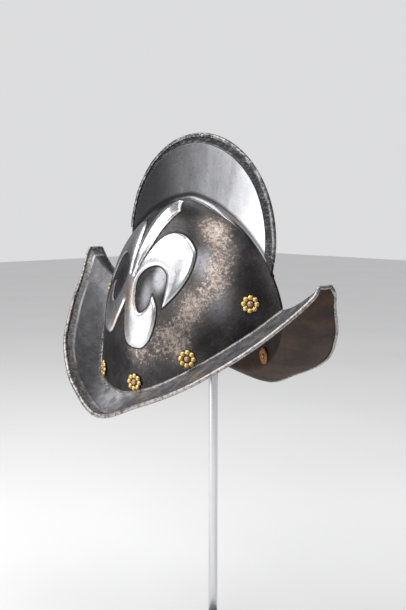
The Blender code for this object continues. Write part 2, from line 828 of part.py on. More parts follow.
def comb_rivet(halves, iron, seat):
    """Small rivet through the turned rim near the top of the comb."""
    turn = math.degrees(math.acos((COMB_RIVET_PLACE - COMB_MIDDLE) / COMB_REACH))
    spot = rim_point(turn, COMB_RIVET_INSET)
    hole = across_cutter("comb_rivet_hole", spot.y, spot.z, -0.01, 0.01, COMB_RIVET_SHANK + FIT_GAP, seat)
    for half in halves:
        boolean(half, hole, "DIFFERENCE", "MANIFOLD")
    near = SEAM_GAP / 2 + WALL + 2 * FIT_GAP + LIP_WALL
    far = SEAM_GAP / 2 + WALL + FIT_GAP
    dome = COMB_RIVET_HEAD * 0.5
    frame = Matrix.Translation((0, spot.y, spot.z)) @ Matrix.Rotation(math.pi / 2, 4, "Y")
    profile = (
        (0, -near - dome),
        (COMB_RIVET_HEAD * 0.7, -near - dome * 0.8),
        (COMB_RIVET_HEAD, -near),
        (COMB_RIVET_SHANK, -near),
        (COMB_RIVET_SHANK, far),
        (COMB_RIVET_HEAD, far),
        (COMB_RIVET_HEAD * 0.7, far + dome * 0.8),
        (0, far + dome),
    )
    finish(turned_object("comb_rivet", profile, 8, frame), iron, seat)


def stand(trees, seat_matrix, steel, black):
    """Foot, rod and the cap that carries the crown."""
    place = seat_matrix.translation + Vector((0, ROD_PLACE, 0))
    hole = ROD_RADIUS + FIT_GAP
    floor = FOOT_THICK - SOCKET_DEPTH
    foot_profile = (
        (0, 0),
        (FOOT_RADIUS - FOOT_BEVEL, 0),
        (FOOT_RADIUS, FOOT_BEVEL),
        (FOOT_RADIUS, FOOT_THICK - FOOT_BEVEL),
        (FOOT_RADIUS - FOOT_BEVEL, FOOT_THICK),
        (hole, FOOT_THICK),
        (hole, floor),
        (0, floor),
    )
    at_foot = Matrix.Translation((place.x, place.y, 0))
    finish(turned_object("stand_foot", foot_profile, 32, at_foot), black, None)
    back = seat_matrix.inverted()
    upward = (back.to_3x3() @ Vector((0, 0, 1))).normalized()

    def crown_above(x, y):
        clear = math.copysign(max(abs(x), CAP_CLEAR_OF_SEAM), x if x else 1.0)
        start = back @ Vector((clear, y, HELMET_HEIGHT))
        heights = []
        for tree in trees:
            struck = tree.ray_cast(start, upward)[0]
            if struck:
                heights.append((seat_matrix @ struck).z)
        return min(heights) - 1.5 * FIT_GAP

    sides = 12
    rings = (CAP_RADIUS, CAP_RADIUS * 0.55)
    points = []
    for radius in rings:
        for k in range(sides):
            turn = 2 * math.pi * (k + 0.5) / sides
            x, y = radius * math.cos(turn), place.y + radius * math.sin(turn)
            points.append(Vector((x, y, crown_above(x, y))))
    centre = Vector((0, place.y, crown_above(0, place.y)))
    low = min(p.z for p in points) - CAP_THICK
    socket_top = low + SOCKET_DEPTH
    for radius, z in ((hole, socket_top), (hole, low), (CAP_RADIUS, low)):
        for k in range(sides):
            turn = 2 * math.pi * (k + 0.5) / sides
            points.append(Vector((radius * math.cos(turn), place.y + radius * math.sin(turn), z)))
    points += [centre, Vector((0, place.y, socket_top))]
    top, roof = len(points) - 2, len(points) - 1
    faces = []
    for k in range(sides):
        after = (k + 1) % sides
        faces.append((k, after, sides + after, sides + k))
        faces.append((sides + k, sides + after, top))
        faces.append((2 * sides + k, 2 * sides + after, roof))
        faces.append((2 * sides + k, 2 * sides + after, 3 * sides + after, 3 * sides + k))
        faces.append((3 * sides + k, 3 * sides + after, 4 * sides + after, 4 * sides + k))
        faces.append((4 * sides + k, 4 * sides + after, after, k))
    finish(mesh_object("stand_cap", points, faces), black, None)
    low_end, high_end = floor + FIT_GAP, socket_top - FIT_GAP
    rod_profile = ((0, low_end), (ROD_RADIUS, low_end), (ROD_RADIUS, high_end), (0, high_end))
    finish(turned_object("stand_rod", rod_profile, 16, at_foot), steel, None)


def helmet_seat():
    """Tilted empty that carries the helmet, centred over the origin from peak to peak."""
    tilt = Matrix.Rotation(math.radians(HELMET_TILT), 4, "X")
    front = tilt @ Vector((0, -PEAK_REACH, PEAK_HEIGHT))
    rear = tilt @ Vector((0, PEAK_REACH, PEAK_HEIGHT))
    seat = bpy.data.objects.new("helmet_seat", None)
    seat.location = (0, -(front.y + rear.y) / 2, HELMET_HEIGHT)
    seat.rotation_euler = (math.radians(HELMET_TILT), 0, 0)
    bpy.context.scene.collection.objects.link(seat)
    return seat, Matrix.Translation(seat.location) @ tilt


def remove_scene_objects():
    for obj in list(bpy.data.objects):
        bpy.data.objects.remove(obj)


def main():
    remove_scene_objects()
    steel = material("blackened_steel", (0.16, 0.15, 0.15), 0.42, 1.0)
    bright = material("polished_steel", (0.62, 0.62, 0.64), 0.22, 1.0)
    brass = material("gilt_brass", (0.70, 0.52, 0.24), 0.32, 1.0)
    iron = material("rivet_iron", (0.42, 0.30, 0.22), 0.45, 1.0)
    leather = material("washer_leather", (0.36, 0.16, 0.06), 0.80, 0.0)
    black = material("black_paint", (0.03, 0.03, 0.03), 0.50, 0.0)
    seat, seat_matrix = helmet_seat()
    insets = {-1: LIP_WALL + FIT_GAP, 1: LIP_INSET}
    names = {-1: "helmet_right_half", 1: "helmet_left_half"}
    halves = {side: half_helmet(names[side], side, insets[side], steel, seat) for side in (-1, 1)}
    trees = {side: surface_tree(half) for side, half in halves.items()}
    for side, letter, rivets in ((-1, "r", RIGHT_RIVETS), (1, "l", LEFT_RIVETS)):
        for number, rivet in enumerate(rivets, 1):
            tag = f"{letter}{number}"
            lining_fastening(tag, side, halves[side], trees[side], rivet, brass, iron, leather, seat)
    comb_rivet(halves.values(), iron, seat)
    stand(trees.values(), seat_matrix, bright, black)


main()
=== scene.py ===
"""Comb morion on its stand: smooth shells, embossed lilies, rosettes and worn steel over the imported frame."""

import json
import math
from collections import namedtuple

import bmesh
import bpy
import numpy as np
from mathutils import Matrix, Vector
from mathutils.bvhtree import BVHTree

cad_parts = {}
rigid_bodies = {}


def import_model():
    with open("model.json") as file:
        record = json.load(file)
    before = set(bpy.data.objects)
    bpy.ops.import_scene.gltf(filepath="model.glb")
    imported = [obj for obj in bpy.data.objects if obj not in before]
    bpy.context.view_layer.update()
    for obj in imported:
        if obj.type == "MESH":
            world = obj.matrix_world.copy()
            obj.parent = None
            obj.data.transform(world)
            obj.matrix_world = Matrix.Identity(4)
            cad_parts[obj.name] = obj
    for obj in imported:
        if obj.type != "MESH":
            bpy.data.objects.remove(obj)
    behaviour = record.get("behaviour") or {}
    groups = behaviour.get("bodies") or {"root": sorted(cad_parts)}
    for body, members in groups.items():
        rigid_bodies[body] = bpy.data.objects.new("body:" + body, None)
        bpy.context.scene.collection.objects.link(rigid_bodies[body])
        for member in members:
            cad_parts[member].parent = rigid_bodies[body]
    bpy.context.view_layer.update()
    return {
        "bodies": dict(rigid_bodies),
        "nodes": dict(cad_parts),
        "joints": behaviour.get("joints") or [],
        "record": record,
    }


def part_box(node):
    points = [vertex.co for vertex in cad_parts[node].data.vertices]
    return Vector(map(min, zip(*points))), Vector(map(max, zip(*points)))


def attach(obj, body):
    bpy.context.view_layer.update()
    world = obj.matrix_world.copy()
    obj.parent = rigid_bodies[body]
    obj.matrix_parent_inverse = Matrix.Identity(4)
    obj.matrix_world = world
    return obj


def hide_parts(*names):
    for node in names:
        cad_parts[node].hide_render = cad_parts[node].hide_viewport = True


# Sizes of the construction, in metres, in the helmet's own frame
WALL = 0.00125
HALF_GAP = 0.00015
FIT_GAP = 0.0003
PEAK_REACH = 0.182
PEAK_HEIGHT = 0.0445
BRIM_HALF_WIDTH = 0.126
BRIM_DROP = 0.1473
BRIM_HOLLOW = 0.003
BRIM_BEAD = 0.0019
BRIM_HOLE = 0.0011
BRIM_HOLE_INSET = 0.0095
BRIM_HOLE_DEPTH = 0.02
BRIM_HOLE_RIM = (0.56, 0.44)
FRONT_TIP_ROUND = 0.0022
FRONT_TIP_TURN = 4.0
SKULL_MIDDLE = 0.003
SKULL_FRONT = 0.134
SKULL_REAR = 0.135
SKULL_CROWN = 0.1135
SKULL_SHOULDER = -0.010
SKULL_FOOT = -0.085
SKULL_HALF_WIDTH = 0.0908
SEAM_RIDGE = 0.0018
CREST_POWER = 1.75
SIDE_POWER = 2.2
PLAN_POWER = 1.93
CREASE_FRONT = 0.013
CREASE_REAR = 0.011
CREASE_FRONT_POWER = 1.65
CREASE_REAR_POWER = 2.9
CREASE_RADIUS = 0.0034
COMB_MIDDLE = -0.003
COMB_CENTRE = 0.0706
COMB_REACH = 0.1123
COMB_RISE = 0.1117
COMB_HALF_BASE = 0.0052
COMB_PANEL_RISE = 0.0012
COMB_FILLET = 0.0045
COMB_FULL_HEIGHT = 0.063
LOWEST_FILLET = 0.88
FAN_DEPTH = 0.080
FIRST_STATION = 7.0
HELMET_HEIGHT = 0.395
HELMET_TILT = 3.7

# Dark border round the comb's panel, from the front of the comb to its rear
BorderRow = namedtuple("BorderRow", "angle width")
COMB_BORDER = (
    BorderRow(0, 0.0178),
    BorderRow(12, 0.0170),
    BorderRow(28, 0.0140),
    BorderRow(46, 0.0108),
    BorderRow(84, 0.0098),
    BorderRow(112, 0.0080),
    BorderRow(180, 0.0074),
)
BORDER_STEP = 0.0011
RIDGE_WIDTH = 0.0040

# Turned edge of the comb
LIP_INSET = 0.0010
RIGHT_INSET = 0.0015
LIP_WALL = 0.0012
LIP_DEPTH = 0.0040
LIP_END = 9.0
LIP_STATIONS = 220
LIP_WAVES = ((0.00022, 0.31, 0.0), (0.00016, 0.83, 1.0))
COMB_RIVET_INSET = 0.0027
COMB_RIVET_PLACE = -0.0067
COMB_PIN = 0.0008
COMB_PIN_HEAD = 0.0015

# Lining rivets with their rosettes and washers
RIVET_SHANK = 0.00125
RIVET_HEAD = 0.0030
WASHER_RADIUS = 0.0093
WASHER_THICK = 0.0016
PETALS = 8
RIVET_SIDES = 9
CLINCH_RADIUS = 0.0022
PIN_TOP = 0.0018
SEAT_GAP = 0.0004
HOLE_PLAY = 0.0002
PROBE = 0.02

# Lily
LILY_HEIGHT = 0.146
LILY_HALF_WIDTH = 0.0614
LILY_PLACE = 0.0176
LILY_FOOT = -0.034
LILY_LEAN = 6.6
LILY_RISE = 0.0017
LILY_MARGIN = 0.01
LILY_EDGE = (-0.0004, 0.0016)
LILY_CROWN = (0.001, 0.009)
CROWN_SHARE = 0.35
BLADE_SHARE = 0.9
BLADE_START = (0.50, 0.62)
BLADE_HALF_WIDTH = 0.009
GROOVE_PLACE = -0.0009
GROOVE_WIDTH = 0.0008
GROOVE_DEPTH = 0.0006

# Stand
ROD_PLACE = -0.032
ROD_RADIUS = 0.0049
FOOT_RADIUS = 0.088
FOOT_THICK = 0.010
FOOT_BEVEL = 0.0025
FOOT_UNDER_BEVEL = 0.0012
HOLE_BEVEL = 0.0006
SOCKET_FLOOR = 0.0030

# Round of a small edge
SOFT_EDGE = 0.0004

# Shares of the brim's half width and drop, from a peak, turn 0, to the middle of a side, turn 1
BrimRow = namedtuple("BrimRow", "turn front_width front_drop rear_width rear_drop")
BRIM = (
    BrimRow(0.00, 0.072, 0.00, 0.072, 0.00),
    BrimRow(0.18, 0.186, 0.129, 0.187, 0.188),
    BrimRow(0.40, 0.516, 0.411, 0.457, 0.416),
    BrimRow(0.60, 0.802, 0.662, 0.745, 0.678),
    BrimRow(0.80, 0.934, 0.848, 0.916, 0.893),
    BrimRow(1.00, 1.000, 1.000, 1.000, 1.000),
)

# Lining rivets by their angle from the front peak and their height above the crease
LiningRivet = namedtuple("LiningRivet", "angle height")
RIGHT_RIVETS = (
    LiningRivet(35.5, 0.0340),
    LiningRivet(61.5, 0.0185),
    LiningRivet(83, 0.0125),
    LiningRivet(108, 0.0125),
    LiningRivet(148, 0.0290),
)
LEFT_RIVETS = (
    LiningRivet(46, 0.0290),
    LiningRivet(75, 0.0155),
    LiningRivet(107, 0.0145),
    LiningRivet(126, 0.0240),
    LiningRivet(146, 0.0290),
)

# One half of the lily's outline, as shares of its half width and height, from its tip to its
# foot. Each run is one smooth line, ends in a corner and starts from the corner before it.
LILY_TIP = (0.00, 1.000)
LILY_RUNS = (
    ((0.21, 0.945),),
    (
        (0.17, 0.808), (0.145, 0.692), (0.09, 0.582), (0.05, 0.487),
    ),
    (
        (0.085, 0.530), (0.15, 0.638), (0.24, 0.740), (0.34, 0.793), (0.48, 0.815),
        (0.66, 0.799), (0.85, 0.747), (0.95, 0.689), (1.00, 0.594), (0.98, 0.499),
        (0.91, 0.412), (0.79, 0.325),
    ),
    (
        (0.77, 0.392), (0.71, 0.520), (0.61, 0.572), (0.47, 0.590), (0.32, 0.569),
        (0.20, 0.520), (0.15, 0.453), (0.19, 0.380), (0.25, 0.316), (0.36, 0.260),
        (0.45, 0.263), (0.54, 0.320), (0.55, 0.397),
    ),
    (
        (0.68, 0.328), (0.73, 0.251), (0.74, 0.184), (0.71, 0.100), (0.62, 0.038),
        (0.48, 0.018), (0.32, 0.025), (0.21, 0.063), (0.13, 0.140), (0.035, 0.250),
        (0.00, 0.310),
    ),
)


# Curves and surfaces

def mix(a, b, share):
    return a + (b - a) * share


def smoothstep(low, high, value):
    share = np.clip((value - low) / (high - low), 0.0, 1.0)
    return share * share * (3 - 2 * share)


def brim_column(name, turn):
    """Monotone cubic through one column of the brim's table, level at its end."""
    knots = np.array([row.turn for row in BRIM])
    values = np.array([getattr(row, name) for row in BRIM])
    slopes = np.diff(values) / np.diff(knots)
    before, after = slopes[:-1], slopes[1:]
    inner = 2 * before * after / (before + after)
    tangents = np.concatenate([[slopes[0]], inner, [0.0]])
    i = np.clip(np.searchsorted(knots, turn) - 1, 0, len(slopes) - 1)
    h = np.diff(knots)[i]
    t = (turn - knots[i]) / h
    return (
        values[i] * (2 * t**3 - 3 * t**2 + 1)
        + tangents[i] * h * (t**3 - 2 * t**2 + t)
        + values[i + 1] * (3 * t**2 - 2 * t**3)
        + tangents[i + 1] * h * (t**3 - t**2)
    )


def stack(x, y, z):
    return np.stack(np.broadcast_arrays(x, y, z), axis=-1).astype(float)


def unit(vectors):
    return vectors / np.maximum(np.linalg.norm(vectors, axis=-1, keepdims=True), 1e-12)


def brim_edge(angles):
    rear = angles > 90
    from_peak = np.where(rear, 180 - angles, angles)
    turn = np.maximum((from_peak - FIRST_STATION) / (90 - FIRST_STATION), 0.0)
    blunt = np.clip(from_peak / FIRST_STATION, 0.0, 1.0)
    width, drop = (
        np.where(rear, brim_column("rear_" + name, turn), brim_column("front_" + name, turn))
        for name in ("width", "drop")
    )
    cut = FRONT_TIP_ROUND * np.exp(-(((angles - FIRST_STATION) / FRONT_TIP_TURN) ** 2))
    y = np.where(rear, 1.0, -1.0) * (PEAK_REACH * np.cos(turn * math.pi / 2) - cut)
    return stack(BRIM_HALF_WIDTH * width * blunt, y, PEAK_HEIGHT - BRIM_DROP * drop)


def skull_half_length(z, rear):
    length = np.where(rear, SKULL_REAR, SKULL_FRONT)
    rise = np.clip((z - SKULL_SHOULDER) / (SKULL_CROWN - SKULL_SHOULDER), 0.0, 1.0)
    return length * (1 - rise**CREST_POWER) ** (1 / CREST_POWER)


def skull_half_width(z):
    rise = np.clip((z - SKULL_FOOT) / (SKULL_CROWN - SKULL_FOOT), 0.0, 1.0)
    return SKULL_HALF_WIDTH * (1 - rise**SIDE_POWER) ** (1 / SIDE_POWER)


def skull_out(y, z):
    length = np.maximum(skull_half_length(z, y > SKULL_MIDDLE), 1e-6)
    share = np.minimum(np.abs(y - SKULL_MIDDLE) / length, 1.0)
    return skull_half_width(z) * (1 - share**PLAN_POWER)


def crease_point(angles):
    rear = angles > 90
    end = np.where(rear, CREASE_REAR, CREASE_FRONT)
    power = np.where(rear, CREASE_REAR_POWER, CREASE_FRONT_POWER)
    share = np.abs(np.cos(np.radians(angles)))
    z = SKULL_FOOT + (end - SKULL_FOOT) * share**power
    y = SKULL_MIDDLE + np.where(rear, 1.0, -1.0) * share * skull_half_length(z, rear)
    return stack(skull_out(y, z), y, z)


def crest_point(turns):
    rad = np.radians(turns)
    length = np.where(turns > 90, SKULL_REAR, SKULL_FRONT)
    way = np.where(turns > 90, 1.0, -1.0)
    y = SKULL_MIDDLE + way * length * np.abs(np.cos(rad)) ** (2 / CREST_POWER)
    rise = np.sin(rad) ** (2 / CREST_POWER)
    return stack(0.0, y, SKULL_SHOULDER + (SKULL_CROWN - SKULL_SHOULDER) * rise)


def comb_shares(point, inset):
    """Place of a point in the comb's ellipse, as shares of its two half lengths."""
    across = (point[..., 1] - COMB_MIDDLE) / (COMB_REACH - inset)
    up = (point[..., 2] - COMB_CENTRE) / (COMB_RISE - inset)
    return across, up


def comb_meets_crest(inset, rear):
    low, high = (180.0, 90.0) if rear else (0.0, 90.0)
    for _ in range(40):
        middle = (low + high) / 2
        outside = np.hypot(*comb_shares(crest_point(np.array(middle)), inset)) > 1
        low, high = (middle, high) if outside else (low, middle)
    return low


def rim_point(turns, inset):
    rad = np.radians(turns)
    y = COMB_MIDDLE + (COMB_REACH - inset) * np.cos(rad)
    return stack(0.0, y, COMB_CENTRE + (COMB_RISE - inset) * np.sin(rad))


def rim_turn(point, inset):
    across, up = comb_shares(point, inset)
    turn = math.degrees(math.atan2(up, across))
    return turn + 360 if turn < -90 else turn


def rim_ends(inset):
    front, rear = (crest_point(np.array(comb_meets_crest(inset, side))) for side in (False, True))
    return rim_turn(front, inset), rim_turn(rear, inset)


FAN = np.array([0.0, SKULL_MIDDLE, SKULL_FOOT - FAN_DEPTH])


def outline_reach(bearing):
    """Distance from the fan's origin to the skull's side-view outline, for an array."""
    low = np.zeros_like(bearing)
    high = np.full_like(bearing, SKULL_FRONT + SKULL_REAR + SKULL_CROWN - FAN[2])
    for _ in range(34):
        middle = (low + high) / 2
        y = FAN[1] + middle * np.cos(bearing)
        z = FAN[2] + middle * np.sin(bearing)
        inside = (z < SKULL_CROWN) & (np.abs(y - SKULL_MIDDLE) < skull_half_length(z, y > SKULL_MIDDLE))
        low, high = np.where(inside, middle, low), np.where(inside, high, middle)
    return low


def bearing_and_share(points):
    away = points - FAN
    bearing = np.arctan2(away[..., 2], away[..., 1])
    reach = np.hypot(away[..., 1], away[..., 2])
    return bearing, np.minimum(reach / outline_reach(bearing), 1.0)


class SkullLines:
    """Lines of the skull from the crease, step 0, to the crest, step 1, one for each angle."""

    def __init__(self, angles, crest_turns):
        self.start, self.start_share = bearing_and_share(crease_point(angles))
        self.end, _ = bearing_and_share(crest_point(crest_turns))

    def at(self, steps):
        start, share, end = self.start, self.start_share, self.end
        if steps.ndim > 1:
            start, share, end = start[:, None], share[:, None], end[:, None]
        bearing = mix(start, end, steps)
        reach = mix(share, 1.0, np.sin(steps * math.pi / 2)) * outline_reach(bearing)
        y = FAN[1] + reach * np.cos(bearing)
        z = FAN[2] + reach * np.sin(bearing)
        return stack(skull_out(y, z), y, z)

    def search(self, too_low):
        """The step of each line where a test of its point stops being true."""
        low, high = np.zeros_like(self.start), np.ones_like(self.start)
        for _ in range(26):
            middle = (low + high) / 2
            below = too_low(self.at(middle))
            low, high = np.where(below, middle, low), np.where(below, high, middle)
        return low

    def at_out(self, out):
        return self.search(lambda points: points[..., 0] > out)

    def at_height(self, height):
        start = self.at(np.zeros_like(self.start))
        return self.search(lambda points: np.linalg.norm(points - start, axis=-1) < height)


def crest_turns(angles, inset):
    return mix(comb_meets_crest(inset, False), comb_meets_crest(inset, True), angles / 180)


def bezier(a, b, c, count, first=1):
    """Rows of a quadratic curve between the points of three rows."""
    t = (np.arange(first, count + first) / (count + 1))[None, :, None]
    a, b, c = a[:, None, :], b[:, None, :], c[:, None, :]
    return a * (1 - t) ** 2 + 2 * b * t * (1 - t) + c * t**2


def grid_normals(points):
    along = np.gradient(points, axis=0)
    across = np.gradient(points, axis=1)
    return unit(np.cross(along, across))


# Lily

def lily_curve():
    """Smooth closed outline of the whole lily, in metres, from its table."""
    size = np.array([LILY_HALF_WIDTH, LILY_HEIGHT])
    smooth, corner = [], LILY_TIP
    for points in LILY_RUNS:
        run = np.array([corner, *points]) * size
        corner = points[-1]
        padded = np.concatenate([[2 * run[0] - run[1]], run, [2 * run[-1] - run[-2]]])
        for i in range(len(run) - 1):
            a, b, c, d = padded[i : i + 4]
            for t in np.arange(0, 1, 0.25):
                tangent = (c - a) * t + (2 * a - 5 * b + 4 * c - d) * t**2 + (3 * b - a - 3 * c + d) * t**3
                smooth.append(b + tangent / 2)
    smooth.append(run[-1])
    side = np.array(smooth)
    return np.concatenate([side, side[-2:0:-1] * [-1, 1]])


def signed_distance(points, outline):
    """Distance to a closed outline, positive inside it."""
    nearest = np.full(len(points), np.inf)
    inside = np.zeros(len(points), bool)
    for a, b in zip(outline, np.roll(outline, -1, axis=0)):
        edge = b - a
        share = np.clip((points - a) @ edge / max(edge @ edge, 1e-12), 0.0, 1.0)
        nearest = np.minimum(nearest, np.linalg.norm(points - a - share[:, None] * edge, axis=1))
        crosses = (a[1] > points[:, 1]) != (b[1] > points[:, 1])
        rise = edge[1] if edge[1] else 1e-12
        inside ^= crosses & (points[:, 0] < a[0] + (points[:, 1] - a[1]) * edge[0] / rise)
    return np.where(inside, nearest, -nearest)


def lily_place(points):
    """Side-view points as (across, up) in the lily's own leaning frame."""
    lean = math.radians(LILY_LEAN)
    dy, dz = points[..., 1] - LILY_PLACE, points[..., 2] - LILY_FOOT
    across = -(dy * math.cos(lean) + dz * math.sin(lean))
    up = -dy * math.sin(lean) + dz * math.cos(lean)
    return np.stack([across, up], axis=-1)


def lily_relief(points):
    """Signed distance to the lily and how far each point of the skull stands out for it."""
    place = lily_place(points)
    flat = place.reshape(-1, 2)
    distance = np.full(len(flat), -FAR)
    near = np.abs(flat[:, 0]) < LILY_HALF_WIDTH + LILY_MARGIN
    near &= np.abs(flat[:, 1] - LILY_HEIGHT / 2) < LILY_HEIGHT / 2 + LILY_MARGIN
    distance[near] = signed_distance(flat[near], lily_curve())
    distance = distance.reshape(place.shape[:-1])
    plateau = smoothstep(*LILY_EDGE, distance)
    crowned = 1 + CROWN_SHARE * smoothstep(*LILY_CROWN, distance)
    groove = np.exp(-(((distance - GROOVE_PLACE) / GROOVE_WIDTH) ** 2))
    across, up = place[..., 0], place[..., 1]
    blade = smoothstep(*BLADE_START, up / LILY_HEIGHT)
    blade *= np.clip(1 - np.abs(across) / BLADE_HALF_WIDTH, 0, 1) * (distance > 0)
    rise = LILY_RISE * (plateau * crowned + BLADE_SHARE * blade * plateau) - GROOVE_DEPTH * groove
    return distance, rise


# Grids of the two halves

STATION_RUNS = ((0.0, 3.0, 8), (3.0, 60.0, 66), (60.0, 130.0, 150), (130.0, 177.0, 56), (177.0, 180.0, 8))
BEAD_ROWS = 11
BRIM_ROWS = 26
CREASE_ROWS = 6
SKULL_ROWS = 150
FILLET_ROWS = 5
COMB_ROWS = 62
INSIDE_STRIDE = 3
BEAD_TURNS = (312, 40)
FILLET_SHARE = 0.35
SEAM_HALF_WIDTH = 0.0016
STEP_PULL = 0.6
STEP_PULL_WIDTH = 0.004
PANEL_FAR = 0.03
BORDER_SHARE = 0.45

# Distance given to the points that a field doesn't reach
FAR = 0.05


def station_angles():
    runs = [np.linspace(a, b, count, endpoint=False) for a, b, count in STATION_RUNS]
    return np.concatenate(runs + [[180.0]])


def comb_border(angles):
    """Width of the dark border round the comb's panel, station by station."""
    return np.interp(angles, [row.angle for row in COMB_BORDER], [row.width for row in COMB_BORDER])


def comb_thickness(depth, height, border):
    """Half thickness of the comb, thinnest in its border."""
    rim = HALF_GAP + WALL
    border = np.minimum(border, BORDER_SHARE * height)
    fullness = np.minimum(height / COMB_FULL_HEIGHT, 1.0)
    swell = np.clip((depth - border) / np.maximum(height - border, 1e-6), 0.0, 1.0)
    panel = COMB_PANEL_RISE + (COMB_HALF_BASE - rim - COMB_PANEL_RISE) * swell**0.8
    return rim + fullness * panel * smoothstep(-BORDER_STEP, 0.0, depth - border)


def shell_grid(inset):
    """Outer face of one half as rows by station, with the distances its finish reads."""
    angles = station_angles()
    turns = crest_turns(angles, inset)
    lines = SkullLines(angles, turns)
    edge, crease, crest = brim_edge(angles), crease_point(angles), crest_point(turns)
    inward = unit(crease - edge)
    bead = edge + inward * BRIM_BEAD
    lip = crease - inward * CREASE_RADIUS
    share = np.linspace(0, 1, BRIM_ROWS)[None, :, None]
    brim = mix(bead[:, None], lip[:, None], share)
    brim[..., 2] -= (BRIM_HOLLOW * 4 * share * (1 - share))[..., 0]
    up = grid_normals(brim)[:, 0]
    turn = np.radians(np.linspace(*BEAD_TURNS, BEAD_ROWS))[None, :, None]
    ring = bead[:, None] + (inward[:, None] * np.cos(turn) + up[:, None] * np.sin(turn)) * BRIM_BEAD
    rise = lines.at_height(CREASE_RADIUS)
    bend = bezier(lip, crease, lines.at(rise), CREASE_ROWS)

    first, last = rim_ends(inset)
    rim = rim_point(mix(first, last, angles / 180), inset)
    height = np.linalg.norm(rim - crest, axis=-1)
    border = comb_border(angles)
    half = comb_thickness(height, height, border)
    half = np.where((angles == 0) | (angles == 180), HALF_GAP, half)
    fillet = np.minimum(COMB_FILLET, FILLET_SHARE * height)
    top = np.maximum(lines.at_out(half + fillet), LOWEST_FILLET)
    end = np.maximum(lines.at_out(half), (1 + LOWEST_FILLET) / 2)
    steps = mix(rise[:, None], top[:, None], np.linspace(0, 1, SKULL_ROWS)[None, :])
    skull = lines.at(steps)
    skull[..., 0] = np.maximum(skull[..., 0], np.minimum(half, SEAM_HALF_WIDTH)[:, None])
    root = lines.at(end)
    root[:, 0] = half
    flat_root = root * [0, 1, 1]
    upward = unit(rim - flat_root)
    tall = np.linalg.norm(rim - flat_root, axis=-1)
    lift = np.minimum(fillet, 0.4 * tall)
    join = bezier(skull[:, -1], root, root + upward * lift[:, None], FILLET_ROWS)
    start = tall - lift
    t = np.linspace(0, 1, COMB_ROWS)[None, :]
    even = mix(start[:, None], 0.0, t)
    step_at = np.minimum(border, BORDER_SHARE * tall)[:, None]
    pull = np.exp(-(((even - step_at) / STEP_PULL_WIDTH) ** 2)) * STEP_PULL
    depth = np.clip(mix(even, step_at, pull), 0.0, start[:, None])
    depth = np.sort(depth, axis=1)[:, ::-1]
    comb = rim[:, None] - upward[:, None] * depth[..., None]
    comb[..., 0] = comb_thickness(depth, tall[:, None], border[:, None])

    parts = [ring, brim[:, 1:], bend, skull, join, comb]
    points = np.concatenate(parts, axis=1)
    starts = np.cumsum([0] + [part.shape[1] for part in parts])
    on_bead, on_brim, on_bend, on_skull, on_join, on_comb = (slice(*pair) for pair in zip(starts, starts[1:]))
    ridge = SEAM_RIDGE * np.exp(-((points[..., 0] / RIDGE_WIDTH) ** 2))
    for flat in (on_bead, on_brim, on_comb):
        ridge[:, flat] = 0
    points[..., 1] += ridge * np.sign(points[..., 1] - SKULL_MIDDLE)
    points[..., 0] = np.maximum(points[..., 0], HALF_GAP)
    points[[0, -1], :, 0] = HALF_GAP

    names = ("lily", "panel", "from_edge", "from_crease", "from_crest")
    fields = {name: np.full(points.shape[:2], FAR) for name in names}
    lily, panel, from_edge, from_crease, from_crest = fields.values()
    lily[:], panel[:] = -FAR, -FAR
    panel[:, on_comb] = np.minimum(depth - border[:, None], PANEL_FAR)
    panel[:, on_join] = np.minimum(tall - border, PANEL_FAR)[:, None]
    width = np.linalg.norm(lip - bead, axis=-1)[:, None]
    from_edge[:, on_bead] = 0.0
    from_edge[:, on_brim] = width * np.linspace(0, 1, BRIM_ROWS)[None, 1:]
    from_crease[:, on_bead] = -FAR
    from_crease[:, on_brim] = from_edge[:, on_brim] - width
    from_crease[:, on_bend] = 0.0
    from_crease[:, on_skull] = np.minimum(np.linalg.norm(points[:, on_skull] - crease[:, None], axis=-1), FAR)
    from_crest[:, on_skull] = np.minimum(np.linalg.norm(points[:, on_skull] - root[:, None], axis=-1), FAR)
    from_crest[:, on_join] = 0.0
    from_crest[:, on_comb] = -np.minimum(start[:, None] - depth, FAR)

    normals = grid_normals(points)
    wall = points - normals * WALL
    wall[..., 0] = np.maximum(wall[..., 0], HALF_GAP)
    wall[[0, -1], :, 0] = HALF_GAP
    wall = np.concatenate([bead[:, None], wall[:, on_brim.start :]], axis=1)
    lily[:, on_skull], stand = lily_relief(points[:, on_skull])
    points[:, on_skull] += normals[:, on_skull] * stand[..., None]
    return points, fields, wall


def grid_faces(stations, rows, first=0):
    i, j = np.meshgrid(np.arange(stations - 1), np.arange(rows - 1), indexing="ij")
    a = first + i * rows + j
    return np.stack([a, a + rows, a + rows + 1, a + 1], axis=-1).reshape(-1, 4)


# Meshes and pieces

def new_object(name, data):
    obj = bpy.data.objects.new(name, data)
    bpy.context.scene.collection.objects.link(obj)
    return obj


def mesh_piece(name, points, faces, materials, smooth=True):
    mesh = bpy.data.meshes.new(name)
    mesh.from_pydata(np.asarray(points, float).tolist(), [], [list(map(int, face)) for face in faces])
    for material in materials:
        mesh.materials.append(material)
    if smooth:
        mesh.shade_smooth()
    return new_object(name, mesh)


def set_field(mesh, name, values):
    attribute = mesh.attributes.new(name, "FLOAT", "POINT")
    attribute.data.foreach_set("value", np.asarray(values, np.float32).ravel())


def surface_tree(obj):
    mesh = obj.data
    return BVHTree.FromPolygons([v.co[:] for v in mesh.vertices], [p.vertices[:] for p in mesh.polygons])


def weld(obj, distance=2e-6):
    shape = bmesh.new()
    shape.from_mesh(obj.data)
    bmesh.ops.remove_doubles(shape, verts=shape.verts, dist=distance)
    bmesh.ops.dissolve_degenerate(shape, edges=shape.edges, dist=distance)
    shape.to_mesh(obj.data)
    shape.free()


